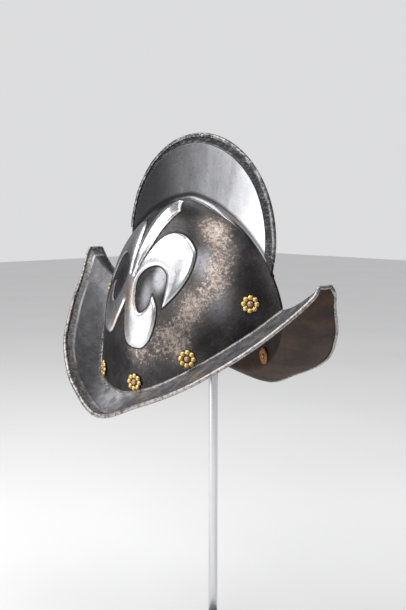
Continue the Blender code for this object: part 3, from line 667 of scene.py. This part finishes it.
def seat_matrix():
    tilt = Matrix.Rotation(math.radians(HELMET_TILT), 4, "X")
    front = tilt @ Vector((0, -PEAK_REACH, PEAK_HEIGHT))
    rear = tilt @ Vector((0, PEAK_REACH, PEAK_HEIGHT))
    return Matrix.Translation((0, -(front.y + rear.y) / 2, HELMET_HEIGHT)) @ tilt


def half_shell(name, side, inset, finishes):
    """Outside of one half in a fine grid and its inside in a coarser one, as one mesh."""
    points, fields, wall = shell_grid(inset)
    close = points[:, -1:] * [0, 1, 1] + [HALF_GAP, 0, 0]
    points = np.concatenate([points, close], axis=1)
    fields = {key: np.concatenate([value, value[:, -1:]], axis=1) for key, value in fields.items()}
    stations, rows = points.shape[:2]
    some = np.unique(np.concatenate([np.arange(0, stations, INSIDE_STRIDE), [stations - 1]]))
    few = np.unique(np.concatenate([np.arange(0, wall.shape[1], INSIDE_STRIDE), [wall.shape[1] - 1]]))
    inside = wall[np.ix_(some, few)]
    outer_faces = grid_faces(stations, rows)
    inner_faces = grid_faces(len(some), len(few), stations * rows)
    if side > 0:
        inner_faces = inner_faces[:, ::-1]
    else:
        outer_faces = outer_faces[:, ::-1]
    whole = np.concatenate([points.reshape(-1, 3), inside.reshape(-1, 3)]) * [side, 1, 1]
    obj = mesh_piece(name, whole, np.concatenate([outer_faces, inner_faces]), finishes)
    slots = np.repeat([0, 1], [len(outer_faces), len(inner_faces)]).astype(np.int32)
    obj.data.polygons.foreach_set("material_index", slots)
    for key, value in fields.items():
        set_field(obj.data, key, np.concatenate([value.ravel(), np.full(inside[..., 0].size, FAR)]))
    weld(obj)
    return obj


def ring_faces(steps, rings, count):
    """Faces from each ring of points to the next one, and from the last to the first."""
    faces = []
    for i in range(steps):
        here, there = i * count, (i + 1) % rings * count
        for k in range(count):
            after = (k + 1) % count
            faces.append((here + k, here + after, there + after, there + k))
    return faces


def sweep_faces(rings, count):
    faces = ring_faces(rings - 1, rings, count)
    faces.append(tuple(range(count))[::-1])
    faces.append(tuple((rings - 1) * count + k for k in range(count)))
    return faces


def comb_lip(finish):
    """Turned edge of the left half, closed over the right half's rim."""
    thin = HALF_GAP + WALL
    outside = thin + 2 * HALF_GAP
    near, far = -outside - LIP_WALL, thin * 0.9
    roof = LIP_WALL * 1.2
    profile = [(far, LIP_INSET + LIP_WALL)]
    for turn in np.radians(np.linspace(0, 180, 13)):
        out = mix(near, far, 0.5 + 0.5 * math.cos(turn))
        profile.append((out, roof * (1 - math.sin(turn))))
    profile += [(near, LIP_DEPTH * 0.6), (near + 0.0001, LIP_DEPTH - SOFT_EDGE), (near + 0.0005, LIP_DEPTH)]
    profile += [(-outside, LIP_DEPTH), (-outside, roof), (-thin * 0.2, roof)]
    first, last = rim_ends(0.0)
    turns = np.linspace(first - LIP_END, last + LIP_END, LIP_STATIONS)
    wave = sum(height * np.sin(turns * rate + start) for height, rate, start in LIP_WAVES)
    points = []
    for turn, stray in zip(turns, wave):
        for out, inset in profile:
            spot = rim_point(turn, inset)
            points.append((out - (stray if out < -outside else 0.0), spot[1], spot[2]))
    return mesh_piece("comb_turned_edge", points, sweep_faces(len(turns), len(profile)), [finish])


# Turned and pressed pieces

def frame_at(origin, normal):
    """Matrix with Z along a direction and X as level as it can be."""
    level = Vector((0, 0, 1)).cross(normal).normalized()
    matrix = Matrix((level, normal.cross(level), normal)).transposed().to_4x4()
    matrix.translation = origin
    return matrix


def turned(name, profile, sides, finish, smooth=True):
    """Solid of revolution about Z. The profile starts and ends on the axis."""
    points = [(0, 0, profile[0][1])]
    for radius, z in profile[1:-1]:
        for k in range(sides):
            turn = 2 * math.pi * k / sides
            points.append((radius * math.cos(turn), radius * math.sin(turn), z))
    points.append((0, 0, profile[-1][1]))
    last = len(points) - 1
    faces = []
    for k in range(sides):
        after = (k + 1) % sides
        faces.append((0, 1 + after, 1 + k))
        faces.append((last, last - sides + k, last - sides + after))
        for i in range(len(profile) - 3):
            base = 1 + i * sides
            faces.append((base + k, base + after, base + sides + after, base + sides + k))
    obj = mesh_piece(name, points, faces, [finish], smooth)
    if smooth:
        obj.data.set_sharp_from_angle(angle=math.radians(40))
    return obj


def arc(centre, radius, low, high, count):
    """Points of a round corner in a profile, from one angle to another."""
    turns = np.radians(np.linspace(low, high, count))
    return [(centre[0] + radius * math.cos(t), centre[1] + radius * math.sin(t)) for t in turns]


BEAD_PLACE = 0.0064
BEAD_RADIUS = 0.00275
BEAD_RISE = 0.0021
ROSETTE_BASE = 0.0007
ROSETTE_RINGS = 26
DISH_RISE = 0.0009
DISH_RIM = (0.0040, 0.0026)
BEAD_SIDES = 16


def rosette(name, finish):
    """Pressed brass flower of eight round beads about a dished middle."""
    sides, rings = BEAD_SIDES * PETALS, ROSETTE_RINGS
    turn = np.arange(sides) * 2 * math.pi / sides
    off = (turn + math.pi / PETALS) % (2 * math.pi / PETALS) - math.pi / PETALS
    reach = BEAD_PLACE * np.cos(off) + np.sqrt(BEAD_RADIUS**2 - (BEAD_PLACE * np.sin(off)) ** 2)
    hole = RIVET_SHANK + HOLE_PLAY
    share = np.linspace(0, 1, rings)[:, None]
    radius = mix(hole, reach[None, :], share)
    x, y = radius * np.cos(turn), radius * np.sin(turn)
    beads = 2 * math.pi * np.arange(PETALS) / PETALS
    apart = np.hypot(
        x[..., None] - BEAD_PLACE * np.cos(beads), y[..., None] - BEAD_PLACE * np.sin(beads)
    ).min(axis=-1)
    swell = np.sqrt(np.clip(1 - (apart / BEAD_RADIUS) ** 2, 0, 1))
    dish = DISH_RISE * smoothstep(*DISH_RIM, radius)
    z = ROSETTE_BASE + BEAD_RISE * swell + dish
    skirt, under = stack(x[-1], y[-1], 0.0), stack(x[0], y[0], 0.0)
    points = np.concatenate([stack(x, y, z), skirt[None], under[None]]).reshape(-1, 3)
    loops = rings + 2
    faces = [face[::-1] for face in ring_faces(loops, loops, sides)]
    obj = mesh_piece(name, points, faces, [finish])
    set_field(obj.data, "swell", np.concatenate([swell.ravel(), np.zeros(2 * sides)]))
    obj.data.set_sharp_from_angle(angle=math.radians(55))
    return obj


def rivet_place(rivet):
    """Point and outward direction of the smooth skull at one lining rivet."""
    angles = np.array([rivet.angle - 1, rivet.angle, rivet.angle + 1])
    lines = SkullLines(angles, crest_turns(angles, LIP_INSET))
    spots = lines.at(lines.at_height(rivet.height))
    above, below = (lines.at(lines.at_height(rivet.height + step))[1] for step in (0.001, -0.001))
    normal = unit(np.cross(spots[2] - spots[0], above - below))
    return Vector(spots[1]), Vector(normal if normal[0] > 0 else -normal)


# Finishes

class Wire:
    """A shader socket whose sums are Math nodes."""

    def __init__(self, nodes, socket):
        self.nodes = nodes
        self.socket = socket

    def sum(self, operation, first, second):
        return self.nodes.node("ShaderNodeMath", {"operation": operation}, {0: first, 1: second})

    def __add__(self, other):
        return self.sum("ADD", self, other)

    __radd__ = __add__

    def __sub__(self, other):
        return self.sum("SUBTRACT", self, other)

    def __rsub__(self, other):
        return self.sum("SUBTRACT", other, self)

    def __mul__(self, other):
        return self.sum("MULTIPLY", self, other)

    __rmul__ = __mul__

    def cap(self, most):
        return self.sum("MINIMUM", self, most)

    def most(self, other):
        return self.sum("MAXIMUM", self, other)


class Nodes:
    """The node tree of a material or of the world."""

    def __init__(self, made):
        self.made = made
        made.use_nodes = True
        self.tree = made.node_tree

    def node(self, kind, settings=None, values=None, output=0):
        """Any node, from its type, its settings and the values or links of its sockets."""
        made = self.tree.nodes.new(kind)
        for key, value in (settings or {}).items():
            setattr(made, key, value)
        for key, value in (values or {}).items():
            if isinstance(value, Wire):
                self.tree.links.new(value.socket, made.inputs[key])
            else:
                made.inputs[key].default_value = value
        return Wire(self, made.outputs[output])

    def tint(self, factor, first, second):
        """Colour that goes from first to second."""
        values = {0: factor, 6: first, 7: second}
        return self.node("ShaderNodeMix", {"data_type": "RGBA"}, values, 2)


class Finish(Nodes):
    """One material in the making."""

    def __init__(self, name, metallic):
        super().__init__(bpy.data.materials.new(name))
        self.shader = self.tree.nodes["Principled BSDF"]
        self.shader.inputs["Metallic"].default_value = metallic
        self.place = self.node("ShaderNodeTexCoord", output="Object")

    def field(self, name):
        return self.node("ShaderNodeAttribute", {"attribute_name": name}, output="Fac")

    def between(self, low, high, value):
        """Smooth step of a value from 0 at low to 1 at high."""
        values = {"Value": value, "From Min": low, "From Max": high}
        return self.node("ShaderNodeMapRange", {"interpolation_type": "SMOOTHSTEP"}, values)

    def ridge(self, centre, width, value):
        """Soft line where a value is near a centre."""
        rising = self.between(centre - width, centre, value)
        return rising * self.between(centre + width, centre, value)

    def stretched(self, *scale):
        return self.node("ShaderNodeVectorMath", {"operation": "MULTIPLY"}, {0: self.place, 1: scale})

    def noise(self, size, detail=4.0, roughness=0.55, warp=0.0, place=None):
        """Cloudy noise from 0 to 1 with features of a size in metres."""
        values = {
            "Vector": place or self.place, "Scale": 1 / size,
            "Detail": detail, "Roughness": roughness, "Distortion": warp,
        }
        return self.node("ShaderNodeTexNoise", None, values)

    def cells(self, size):
        """Distance to scattered points a size apart, 0 at each point."""
        return self.node("ShaderNodeTexVoronoi", None, {"Vector": self.place, "Scale": 1 / size})

    def axis(self, name, place=None):
        return self.node("ShaderNodeSeparateXYZ", None, {0: place or self.place}, name)

    def spot(self, centre, size):
        """Soft patch, 1 at its centre and 0 at its edge, on both sides of the helmet."""
        mirrored = self.node("ShaderNodeVectorMath", {"operation": "ABSOLUTE"}, {0: self.place})
        parts = [self.axis("X", mirrored), self.axis("Y"), self.axis("Z")]
        joined = self.node("ShaderNodeCombineXYZ", None, dict(enumerate(parts)))
        away = self.node("ShaderNodeVectorMath", {"operation": "SUBTRACT"}, {0: joined, 1: centre})
        shares = self.node("ShaderNodeVectorMath", {"operation": "DIVIDE"}, {0: away, 1: size})
        length = self.node("ShaderNodeVectorMath", {"operation": "LENGTH"}, {0: shares}, "Value")
        return self.between(1.0, 0.0, length)

    def patches(self, rows):
        whole = 0.0
        for row in rows:
            whole = self.spot(row.centre, row.size) * row.depth + whole
        return whole

    def set(self, colour=None, roughness=None, alpha=None, height=None, strength=1.0):
        for key, value in (("Base Color", colour), ("Roughness", roughness), ("Alpha", alpha)):
            if isinstance(value, Wire):
                self.tree.links.new(value.socket, self.shader.inputs[key])
            elif value is not None:
                self.shader.inputs[key].default_value = value
        if height is not None:
            values = {"Height": height, "Distance": 1.0, "Strength": strength}
            bump = self.node("ShaderNodeBump", None, values)
            self.tree.links.new(bump.socket, self.shader.inputs["Normal"])
        return self.made


def rgb(red, green, blue):
    return (red, green, blue, 1.0)


def brim_hole(f):
    """Alpha that opens the small hole near the lowest point of each side's brim."""
    edge, crease = brim_edge(np.array([90.0]))[0], crease_point(np.array([90.0]))[0]
    middle = mix(edge, crease, BRIM_HOLE_INSET / np.linalg.norm(crease - edge))
    shape = (2 * BRIM_HOLE, 2 * BRIM_HOLE, BRIM_HOLE_DEPTH)
    return f.between(*BRIM_HOLE_RIM, f.spot(tuple(SEAT @ Vector(middle)), shape))


# Patches on each side of the helmet: centre, half sizes and strength
Patch = namedtuple("Patch", "centre size depth")
WORN_PATCHES = (
    Patch((0.022, -0.054, 0.478), (0.030, 0.032, 0.030), 0.90),
    Patch((0.030, -0.072, 0.452), (0.030, 0.026, 0.040), 0.75),
    Patch((0.043, -0.076, 0.424), (0.030, 0.026, 0.034), 0.70),
    Patch((0.061, -0.060, 0.402), (0.030, 0.026, 0.032), 0.95),
    Patch((0.074, -0.046, 0.372), (0.030, 0.034, 0.030), 0.95),
    Patch((0.085, -0.016, 0.354), (0.026, 0.034, 0.022), 0.70),
    Patch((0.066, -0.062, 0.352), (0.030, 0.028, 0.022), 0.50),
)
DARK_PATCHES = (
    Patch((0.028, -0.023, 0.495), (0.022, 0.022, 0.020), 0.9),
    Patch((0.016, -0.104, 0.420), (0.030, 0.026, 0.040), 0.9),
    Patch((0.054, -0.074, 0.366), (0.026, 0.024, 0.026), 0.7),
)
# Painted highlight: lighter patches that stand in for a reflected shine on the dark ground of the skull
PAINTED_SHEEN_PATCHES = (
    Patch((0.070, -0.026, 0.429), (0.018, 0.011, 0.020), 1.6),
    Patch((0.078, -0.014, 0.412), (0.018, 0.010, 0.024), 0.7),
    Patch((0.043, -0.062, 0.446), (0.018, 0.016, 0.030), 0.8),
    Patch((0.043, -0.080, 0.410), (0.020, 0.020, 0.030), 0.5),
)
PEACH_PATCHES = (
    Patch((0.083, 0.006, 0.410), (0.020, 0.020, 0.026), 0.9),
    Patch((0.084, 0.026, 0.384), (0.020, 0.022, 0.022), 0.7),
)
# Painted shade: patches where the bright lily is darkened towards its rear and top
LILY_PAINTED_SHADE_PATCHES = (
    Patch((0.078, 0.048, 0.410), (0.030, 0.024, 0.060), 1.0),
    Patch((0.055, 0.012, 0.474), (0.022, 0.014, 0.030), 0.8),
    Patch((0.074, 0.030, 0.452), (0.024, 0.022, 0.030), 0.8),
)


def shell_steel():
    """Blackened skull and brim, bright lilies and comb panels, worn and speckled, with painted highlights and
    painted shade.
    """
    f = Finish("blackened_steel", 1.0)
    lily, panel = f.field("lily"), f.field("panel")
    edge, crease, crest = f.field("from_edge"), f.field("from_crease"), f.field("from_crest")
    clouds = f.noise(0.045, 5.0, 0.6)
    grain = f.noise(0.0035, 4.0, 0.7)
    fine = f.noise(0.0011, 2.0, 0.6)
    streaks = f.noise(0.010, 4.0, 0.65, place=f.stretched(1.0, 1.0, 0.25))
    scratches = f.noise(0.0016, 3.0, 0.7, place=f.stretched(0.25, 0.25, 1.0))

    worn = f.patches(WORN_PATCHES).cap(1.0)
    rust = f.noise(0.0036, 7.0, 0.82, 0.4)
    bare = f.between(0.445, 0.560, rust * 0.72 + worn * 0.16 + clouds * 0.03) * f.between(0.05, 0.40, worn)
    dark = f.tint(f.between(0.3, 0.7, clouds), rgb(0.034, 0.033, 0.036), rgb(0.105, 0.099, 0.096))
    dark = f.tint(f.between(0.54, 0.66, rust) * 0.55, dark, rgb(0.21, 0.185, 0.165))
    dark = f.tint(f.patches(DARK_PATCHES).cap(1.0) * 0.75, dark, rgb(0.022, 0.021, 0.022))
    # Painted highlight: a pale blue-grey reflection painted into the dark ground and broken up by noise
    painted_sheen = f.patches(PAINTED_SHEEN_PATCHES).cap(1.0) * f.between(0.30, 0.50, rust)
    dark = f.tint(painted_sheen, dark, rgb(0.48, 0.48, 0.51))
    ground = f.tint(worn * f.between(0.30, 0.62, clouds) * 0.8, dark, rgb(0.30, 0.26, 0.235))
    pale = f.tint(f.between(0.35, 0.65, clouds), rgb(0.40, 0.33, 0.285), rgb(0.72, 0.60, 0.53))
    ground = f.tint(bare, ground, pale)
    ground = f.tint(f.between(0.60, 0.74, fine) * 0.35, ground, rgb(0.035, 0.032, 0.032))

    on_brim = f.between(0.0006, -0.0006, crease)
    brim = f.tint(f.between(0.3, 0.75, streaks), rgb(0.13, 0.13, 0.137), rgb(0.36, 0.355, 0.365))
    # Painted shade: the rear of the brim is darkened to stand in for its darker reflection
    brim = f.tint(f.between(0.010, 0.060, f.axis("Y")) * 0.75, brim, rgb(0.085, 0.085, 0.09))
    edge_band = f.between(0.0125, 0.0090, edge)
    brim = f.tint(edge_band * f.between(0.40, 0.62, grain), brim, rgb(0.30, 0.285, 0.275))
    # Painted highlight: the bead and the first few millimetres of the brim are lighter, broken up by grain, to
    # stand in for the shine on the turned edge
    turned = f.between(0.0026, 0.0010, edge)
    brim = f.tint(turned * f.between(0.40, 0.58, grain), brim, rgb(0.50, 0.46, 0.44))
    inner_line = f.ridge(0.0105, 0.0022, edge)
    brim = f.tint(inner_line * f.between(0.40, 0.62, clouds) * 0.8, brim, rgb(0.62, 0.61, 0.62))
    steel = f.tint(on_brim, ground, brim)
    # Painted highlight: a lighter line along the crease, broken up by grain
    crease_painted_highlight = f.ridge(0.0, 0.0016, crease)
    steel = f.tint(crease_painted_highlight * f.between(0.35, 0.60, grain), steel, rgb(0.36, 0.345, 0.335))

    on_comb = f.between(0.0004, -0.0004, crest)
    border = f.tint(f.between(0.48, 0.70, scratches), rgb(0.050, 0.050, 0.054), rgb(0.22, 0.22, 0.23))
    steel = f.tint(on_comb, steel, border)
    vertical = f.noise(0.020, 4.0, 0.6, place=f.stretched(1.0, 1.0, 0.35))
    bright = f.tint(f.between(0.30, 0.70, vertical), rgb(0.62, 0.62, 0.65), rgb(0.86, 0.86, 0.88))
    # Painted shade: the comb's bright panel is darkened towards its rear to stand in for the fall of light
    # across it
    rear_painted_shade = f.between(-0.035, 0.080, f.axis("Y") + 0.02 * clouds)
    bright = f.tint(rear_painted_shade, bright, rgb(0.17, 0.17, 0.175))
    specks = f.between(0.16, 0.06, f.cells(0.0042)) * f.between(0.52, 0.62, grain)
    bright = f.tint(specks * 0.6, bright, rgb(0.16, 0.14, 0.13))
    on_panel = f.between(-0.0003, 0.0003, panel)
    steel = f.tint(on_panel, steel, bright)
    panel_line = f.ridge(-0.0006, 0.0009, panel)
    steel = f.tint(panel_line * 0.75, steel, rgb(0.035, 0.035, 0.038))

    # Painted shade: a dark band along the fillet where the comb meets the skull
    steel = f.tint(f.ridge(-0.0010, 0.0042, crest) * 0.9, steel, rgb(0.060, 0.058, 0.058))

    on_lily = f.between(-0.0001, 0.0006, lily)
    outline = f.ridge(-0.0008, 0.0012, lily)
    steel = f.tint(outline * 0.9, steel, rgb(0.020, 0.019, 0.019))
    lily_steel = f.tint(f.between(0.35, 0.7, vertical), rgb(0.70, 0.69, 0.70), rgb(0.88, 0.88, 0.89))
    peach = f.patches(PEACH_PATCHES).cap(1.0) * f.between(0.35, 0.6, clouds)
    lily_steel = f.tint(peach * 0.8, lily_steel, rgb(0.62, 0.44, 0.32))
    # Painted shade: the bright lily is darkened in patches on its rear facets
    lily_steel = f.tint(f.patches(LILY_PAINTED_SHADE_PATCHES).cap(1.0) * 0.75, lily_steel, rgb(0.27, 0.265, 0.26))
    lily_steel = f.tint(specks * 0.7, lily_steel, rgb(0.22, 0.18, 0.15))
    steel = f.tint(on_lily, steel, lily_steel)

    polished = on_lily.most(on_panel)
    rough = 0.40 + 0.14 * grain - 0.08 * bare - 0.18 * polished
    dents = f.noise(0.018, 2.0, 0.4) * 0.0011
    pits = f.between(0.55, 0.72, grain) * 0.00020
    skin = fine * 0.00010
    height = (dents + skin) * (1 - polished * 0.75) - pits * (1 - polished * 0.9) - specks * 0.00012
    return f.set(steel, rough, brim_hole(f), height, 0.8)


def inside_steel():
    """Bare brown inside of the halves."""
    f = Finish("inside_steel", 0.55)
    clouds = f.noise(0.030, 5.0, 0.6)
    grain = f.noise(0.0032, 4.0, 0.7)
    brown = f.tint(f.between(0.35, 0.68, clouds), rgb(0.030, 0.018, 0.013), rgb(0.075, 0.042, 0.028))
    brown = f.tint(f.between(0.56, 0.72, grain) * 0.5, brown, rgb(0.11, 0.062, 0.042))
    return f.set(brown, 0.58 + 0.2 * grain, brim_hole(f), grain * 0.0004, 0.8)


def edge_steel():
    """Turned edge of the comb, dark with a worn bright top."""
    f = Finish("worn_edge_steel", 1.0)
    grain = f.noise(0.0030, 4.0, 0.7)
    blotch = f.noise(0.012, 3.0, 0.6)
    rubbed = f.between(0.42, 0.60, grain * 0.5 + blotch * 0.5)
    steel = f.tint(rubbed, rgb(0.10, 0.098, 0.10), rgb(0.42, 0.41, 0.41))
    return f.set(steel, 0.34 + 0.2 * grain, None, grain * 0.0003, 0.7)


def gilt_brass():
    f = Finish("gilt_brass", 1.0)
    grain = f.noise(0.0016, 3.0, 0.6)
    swell = f.field("swell")
    gold = f.tint(f.between(0.35, 0.7, grain), rgb(0.78, 0.50, 0.17), rgb(0.95, 0.72, 0.32))
    # Painted shade: darker brown in the gaps between the beads and round the dished middle
    gold = f.tint(f.between(0.42, 0.05, swell) * 0.85, gold, rgb(0.10, 0.055, 0.018))
    return f.set(gold, 0.26 + 0.22 * grain, None, grain * 0.00012, 0.7)


def rivet_copper():
    f = Finish("rivet_iron", 1.0)
    grain = f.noise(0.0014, 3.0, 0.6)
    copper = f.tint(f.between(0.35, 0.7, grain), rgb(0.40, 0.26, 0.19), rgb(0.72, 0.54, 0.44))
    return f.set(copper, 0.34 + 0.2 * grain, None, grain * 0.0002, 0.8)


def leather():
    f = Finish("washer_leather", 0.0)
    pores = f.cells(0.0009)
    clouds = f.noise(0.006, 4.0, 0.6)
    hide = f.tint(f.between(0.3, 0.7, clouds), rgb(0.30, 0.11, 0.03), rgb(0.55, 0.25, 0.08))
    return f.set(hide, 0.66 + 0.2 * clouds, None, pores * 0.00018 + clouds * 0.0004, 0.8)


def rod_steel():
    f = Finish("polished_steel", 1.0)
    grain = f.noise(0.004, 3.0, 0.6, place=f.stretched(1.0, 1.0, 0.05))
    steel = f.tint(grain, rgb(0.62, 0.62, 0.64), rgb(0.80, 0.80, 0.82))
    return f.set(steel, 0.14 + 0.10 * grain, None, grain * 0.00002, 0.5)


def black_paint():
    f = Finish("black_paint", 0.0)
    grain = f.noise(0.0012, 3.0, 0.6)
    clouds = f.noise(0.05, 3.0, 0.5)
    paint = f.tint(clouds, rgb(0.016, 0.016, 0.017), rgb(0.030, 0.030, 0.032))
    return f.set(paint, 0.38 + 0.15 * grain, None, grain * 0.00010, 0.6)


def floor_paper():
    f = Finish("floor_paper", 0.0)
    clouds = f.noise(0.4, 3.0, 0.5)
    paper = f.tint(clouds, rgb(0.70, 0.70, 0.70), rgb(0.76, 0.76, 0.76))
    return f.set(paper, 0.8)


# Pieces on the frame

SEAT = seat_matrix()
SIDES = (("r", -1, RIGHT_RIVETS), ("l", 1, LEFT_RIVETS))
BOTH = {-1: ("helmet_right_half", RIGHT_INSET), 1: ("helmet_left_half", LIP_INSET)}


def place(obj, node, slot, matrix):
    """Sets a piece on the frame in place of its CAD node, with its place in its mesh."""
    obj.data.transform(matrix)
    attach(obj, "root")
    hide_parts(node)


def washer(name, tree, centre, normal, finish):
    """Leather washer that follows the inside of the wall."""
    sides = 40
    frame = frame_at(centre - normal * PROBE, normal)
    deepest = tree.ray_cast(frame.translation, normal)[3]
    hole, soft = RIVET_SHANK + SEAT_GAP, SOFT_EDGE
    rings = (
        (hole, 0.0), (WASHER_RADIUS * 0.6, 0.0), (WASHER_RADIUS - soft, 0.0), (WASHER_RADIUS, soft),
        (WASHER_RADIUS, WASHER_THICK - soft), (WASHER_RADIUS - soft, WASHER_THICK),
        (WASHER_RADIUS * 0.6, WASHER_THICK), (hole, WASHER_THICK),
    )
    points = []
    for radius, lift in rings:
        for k in range(sides):
            turn = 2 * math.pi * k / sides
            ragged = radius * (1 + 0.015 * math.sin(5 * turn) + 0.01 * math.sin(11 * turn + 1))
            start = frame @ Vector((ragged * math.cos(turn), ragged * math.sin(turn), 0))
            reach = tree.ray_cast(start, normal)[3]
            reach = deepest if reach is None else min(reach, deepest)
            points.append(start + normal * (reach - SEAT_GAP - lift))
    return mesh_piece(name, points, ring_faces(len(rings), len(rings), sides), [finish])


def rivet_profile(bottom, top):
    """Facetted domed head, shank and clinched end."""
    return [
        (0, bottom - 0.0012), (CLINCH_RADIUS * 0.7, bottom - 0.0012),
        (CLINCH_RADIUS, bottom - 0.0005), (CLINCH_RADIUS, bottom),
        (RIVET_SHANK, bottom), (RIVET_SHANK, top), (RIVET_HEAD, top),
        (RIVET_HEAD * 0.93, top + 0.0006), (RIVET_HEAD * 0.62, top + 0.0012), (0, top + 0.0016),
    ]


def fasten_linings(trees, finishes):
    """Rosette, rivet and washer at every lining rivet, each in the place of its CAD node."""
    for letter, side, rivets in SIDES:
        tree = trees[side]
        mirror = Vector((side, 1, 1))
        for number, rivet in enumerate(rivets, 1):
            spot, normal = (v * mirror for v in rivet_place(rivet))
            outside = tree.ray_cast(spot + normal * PROBE, -normal)[0]
            frame = frame_at(outside + normal * SEAT_GAP, normal)
            tag = f"{letter}{number}"
            flower = rosette(f"flower_{tag}", finishes["brass"])
            place(flower, f"rosette_{tag}", "gilt_brass", SEAT @ frame)
            pad = washer(f"pad_{tag}", tree, spot, normal, finishes["leather"])
            place(pad, f"lining_washer_{tag}", "washer_leather", SEAT)
            inside = tree.ray_cast(spot - normal * PROBE, normal)[0]
            bottom = -(outside - inside).length - 2 * SEAT_GAP - WASHER_THICK - FIT_GAP
            profile = rivet_profile(bottom, PIN_TOP)
            pin = turned(f"pin_{tag}", profile, RIVET_SIDES, finishes["copper"], False)
            place(pin, f"lining_rivet_{tag}", "rivet_iron", SEAT @ frame)


def comb_rivet(finish):
    turn = math.degrees(math.acos((COMB_RIVET_PLACE - COMB_MIDDLE) / COMB_REACH))
    spot = rim_point(turn, COMB_RIVET_INSET)
    far = WALL + 3 * HALF_GAP
    near = far + 2 * HALF_GAP + LIP_WALL
    profile = [(0, -near - COMB_PIN)]
    for t in np.linspace(0.25, math.pi / 2, 6):
        profile.append((COMB_PIN_HEAD * math.sin(t), -near - COMB_PIN * math.cos(t)))
    profile += [(COMB_PIN, -near), (COMB_PIN, far), (COMB_PIN_HEAD, far)]
    profile += [(0.0011, far + 0.0006), (0, far + COMB_PIN)]
    matrix = Matrix.Translation((0, spot[1], spot[2])) @ Matrix.Rotation(math.pi / 2, 4, "Y")
    pin = turned("comb_pin", profile, 24, finish)
    place(pin, "comb_rivet", "rivet_iron", SEAT @ matrix)


def stand(black, steel):
    """Turned foot and polished rod."""
    y = SEAT.translation.y + ROD_PLACE
    hole = ROD_RADIUS + FIT_GAP
    low = (FOOT_RADIUS - FOOT_UNDER_BEVEL, FOOT_UNDER_BEVEL)
    high = (FOOT_RADIUS - FOOT_BEVEL, FOOT_THICK - FOOT_BEVEL)
    profile = [(0, 0)] + arc(low, FOOT_UNDER_BEVEL, -90, 0, 6) + arc(high, FOOT_BEVEL, 0, 90, 9)
    profile += [(hole + HOLE_BEVEL, FOOT_THICK), (hole, FOOT_THICK - HOLE_BEVEL)]
    profile += [(hole, SOCKET_FLOOR), (0, SOCKET_FLOOR)]
    foot = turned("foot_plate", profile, 160, black)
    place(foot, "stand_foot", "black_paint", Matrix.Translation((0, y, 0)))
    low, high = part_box("stand_rod")
    side = ROD_RADIUS - SOFT_EDGE
    profile = [(0, low.z)] + arc((side, low.z + SOFT_EDGE), SOFT_EDGE, -90, 0, 4)
    profile += arc((side, high.z - SOFT_EDGE), SOFT_EDGE, 0, 90, 4) + [(0, high.z)]
    rod = turned("rod", profile, 64, steel)
    place(rod, "stand_rod", "polished_steel", Matrix.Translation((0, y, 0)))


# Camera, floor and lights

VIEW_AZIMUTH = -42.9
VIEW_ELEVATION = 6.8
VIEW_DISTANCE = 0.9007
VIEW_RIGHT = -0.0109
VIEW_UP = 0.0003
FRAME_HEIGHT = 610
FOCAL_PIXELS = 833.5


def direction(azimuth, elevation):
    around, over = math.radians(azimuth), math.radians(elevation)
    return Vector((math.cos(around) * math.cos(over), math.sin(around) * math.cos(over), math.sin(over)))


def camera():
    back = direction(VIEW_AZIMUTH - 90, VIEW_ELEVATION)
    right = direction(VIEW_AZIMUTH, 0)
    up = back.cross(right)
    data = bpy.data.cameras.new("camera")
    data.sensor_width = 36
    data.lens = data.sensor_width * FOCAL_PIXELS / FRAME_HEIGHT
    data.clip_start = 0.01
    obj = new_object("camera", data)
    obj.matrix_world = Matrix((right, up, back)).transposed().to_4x4()
    obj.location = SEAT.translation + back * VIEW_DISTANCE - right * VIEW_RIGHT - up * VIEW_UP
    bpy.context.scene.camera = obj


def floor(paper):
    size = 6.0
    points = [(-size, -size, 0), (size, -size, 0), (size, size, 0), (-size, size, 0)]
    mesh_piece("floor", points, [(0, 1, 2, 3)], [paper], smooth=False)


def softbox(name, azimuth, elevation, distance, width, height, power):
    """Rectangular light that faces the helmet, placed by its direction from it."""
    toward = direction(azimuth, elevation)
    data = bpy.data.lights.new(name, "AREA")
    data.shape = "RECTANGLE"
    data.size, data.size_y = width, height
    data.energy = power
    obj = new_object(name, data)
    obj.rotation_euler = toward.to_track_quat("Z", "Y").to_euler()
    obj.location = SEAT.translation + toward * distance
    obj.visible_camera = False


def backdrop():
    """World that is pale to the camera and dimmer in the metal."""
    world = bpy.data.worlds.new("backdrop")
    bpy.context.scene.world = world
    sky = Nodes(world)
    camera_rays, diffuse_rays = (
        sky.node("ShaderNodeLightPath", output=f"Is {kind} Ray") for kind in ("Camera", "Diffuse")
    )
    shade = sky.tint(camera_rays.most(diffuse_rays), rgb(0.16, 0.16, 0.17), rgb(0.72, 0.72, 0.73))
    sky.tree.links.new(shade.socket, sky.tree.nodes["Background"].inputs["Color"])


def main():
    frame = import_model()
    bpy.context.scene.view_settings.view_transform = "Standard"
    camera()
    backdrop()
    floor(floor_paper())
    softbox("comb_light", 161, 2, 1.5, 0.85, 0.90, 5.0)
    softbox("lily_light", 144, 50, 1.4, 1.25, 0.95, 17.0)
    softbox("overhead", -70, 70, 1.6, 0.9, 0.9, 7.0)
    softbox("brim_light", -150, 35, 1.6, 0.5, 0.9, 4.0)
    outside, inside = shell_steel(), inside_steel()
    finishes = {"brass": gilt_brass(), "copper": rivet_copper(), "leather": leather()}
    trees = {}
    for side, (node, inset) in BOTH.items():
        shell = half_shell(node.replace("helmet", "shell"), side, inset, [outside, inside])
        trees[side] = surface_tree(shell)
        place(shell, node, "blackened_steel", SEAT)
    lip = comb_lip(edge_steel())
    place(lip, "helmet_left_half", "blackened_steel", SEAT)
    fasten_linings(trees, finishes)
    comb_rivet(finishes["copper"])
    black = black_paint()
    stand(black, rod_steel())
    frame["nodes"]["stand_cap"].data.materials.clear()
    frame["nodes"]["stand_cap"].data.materials.append(black)


main()
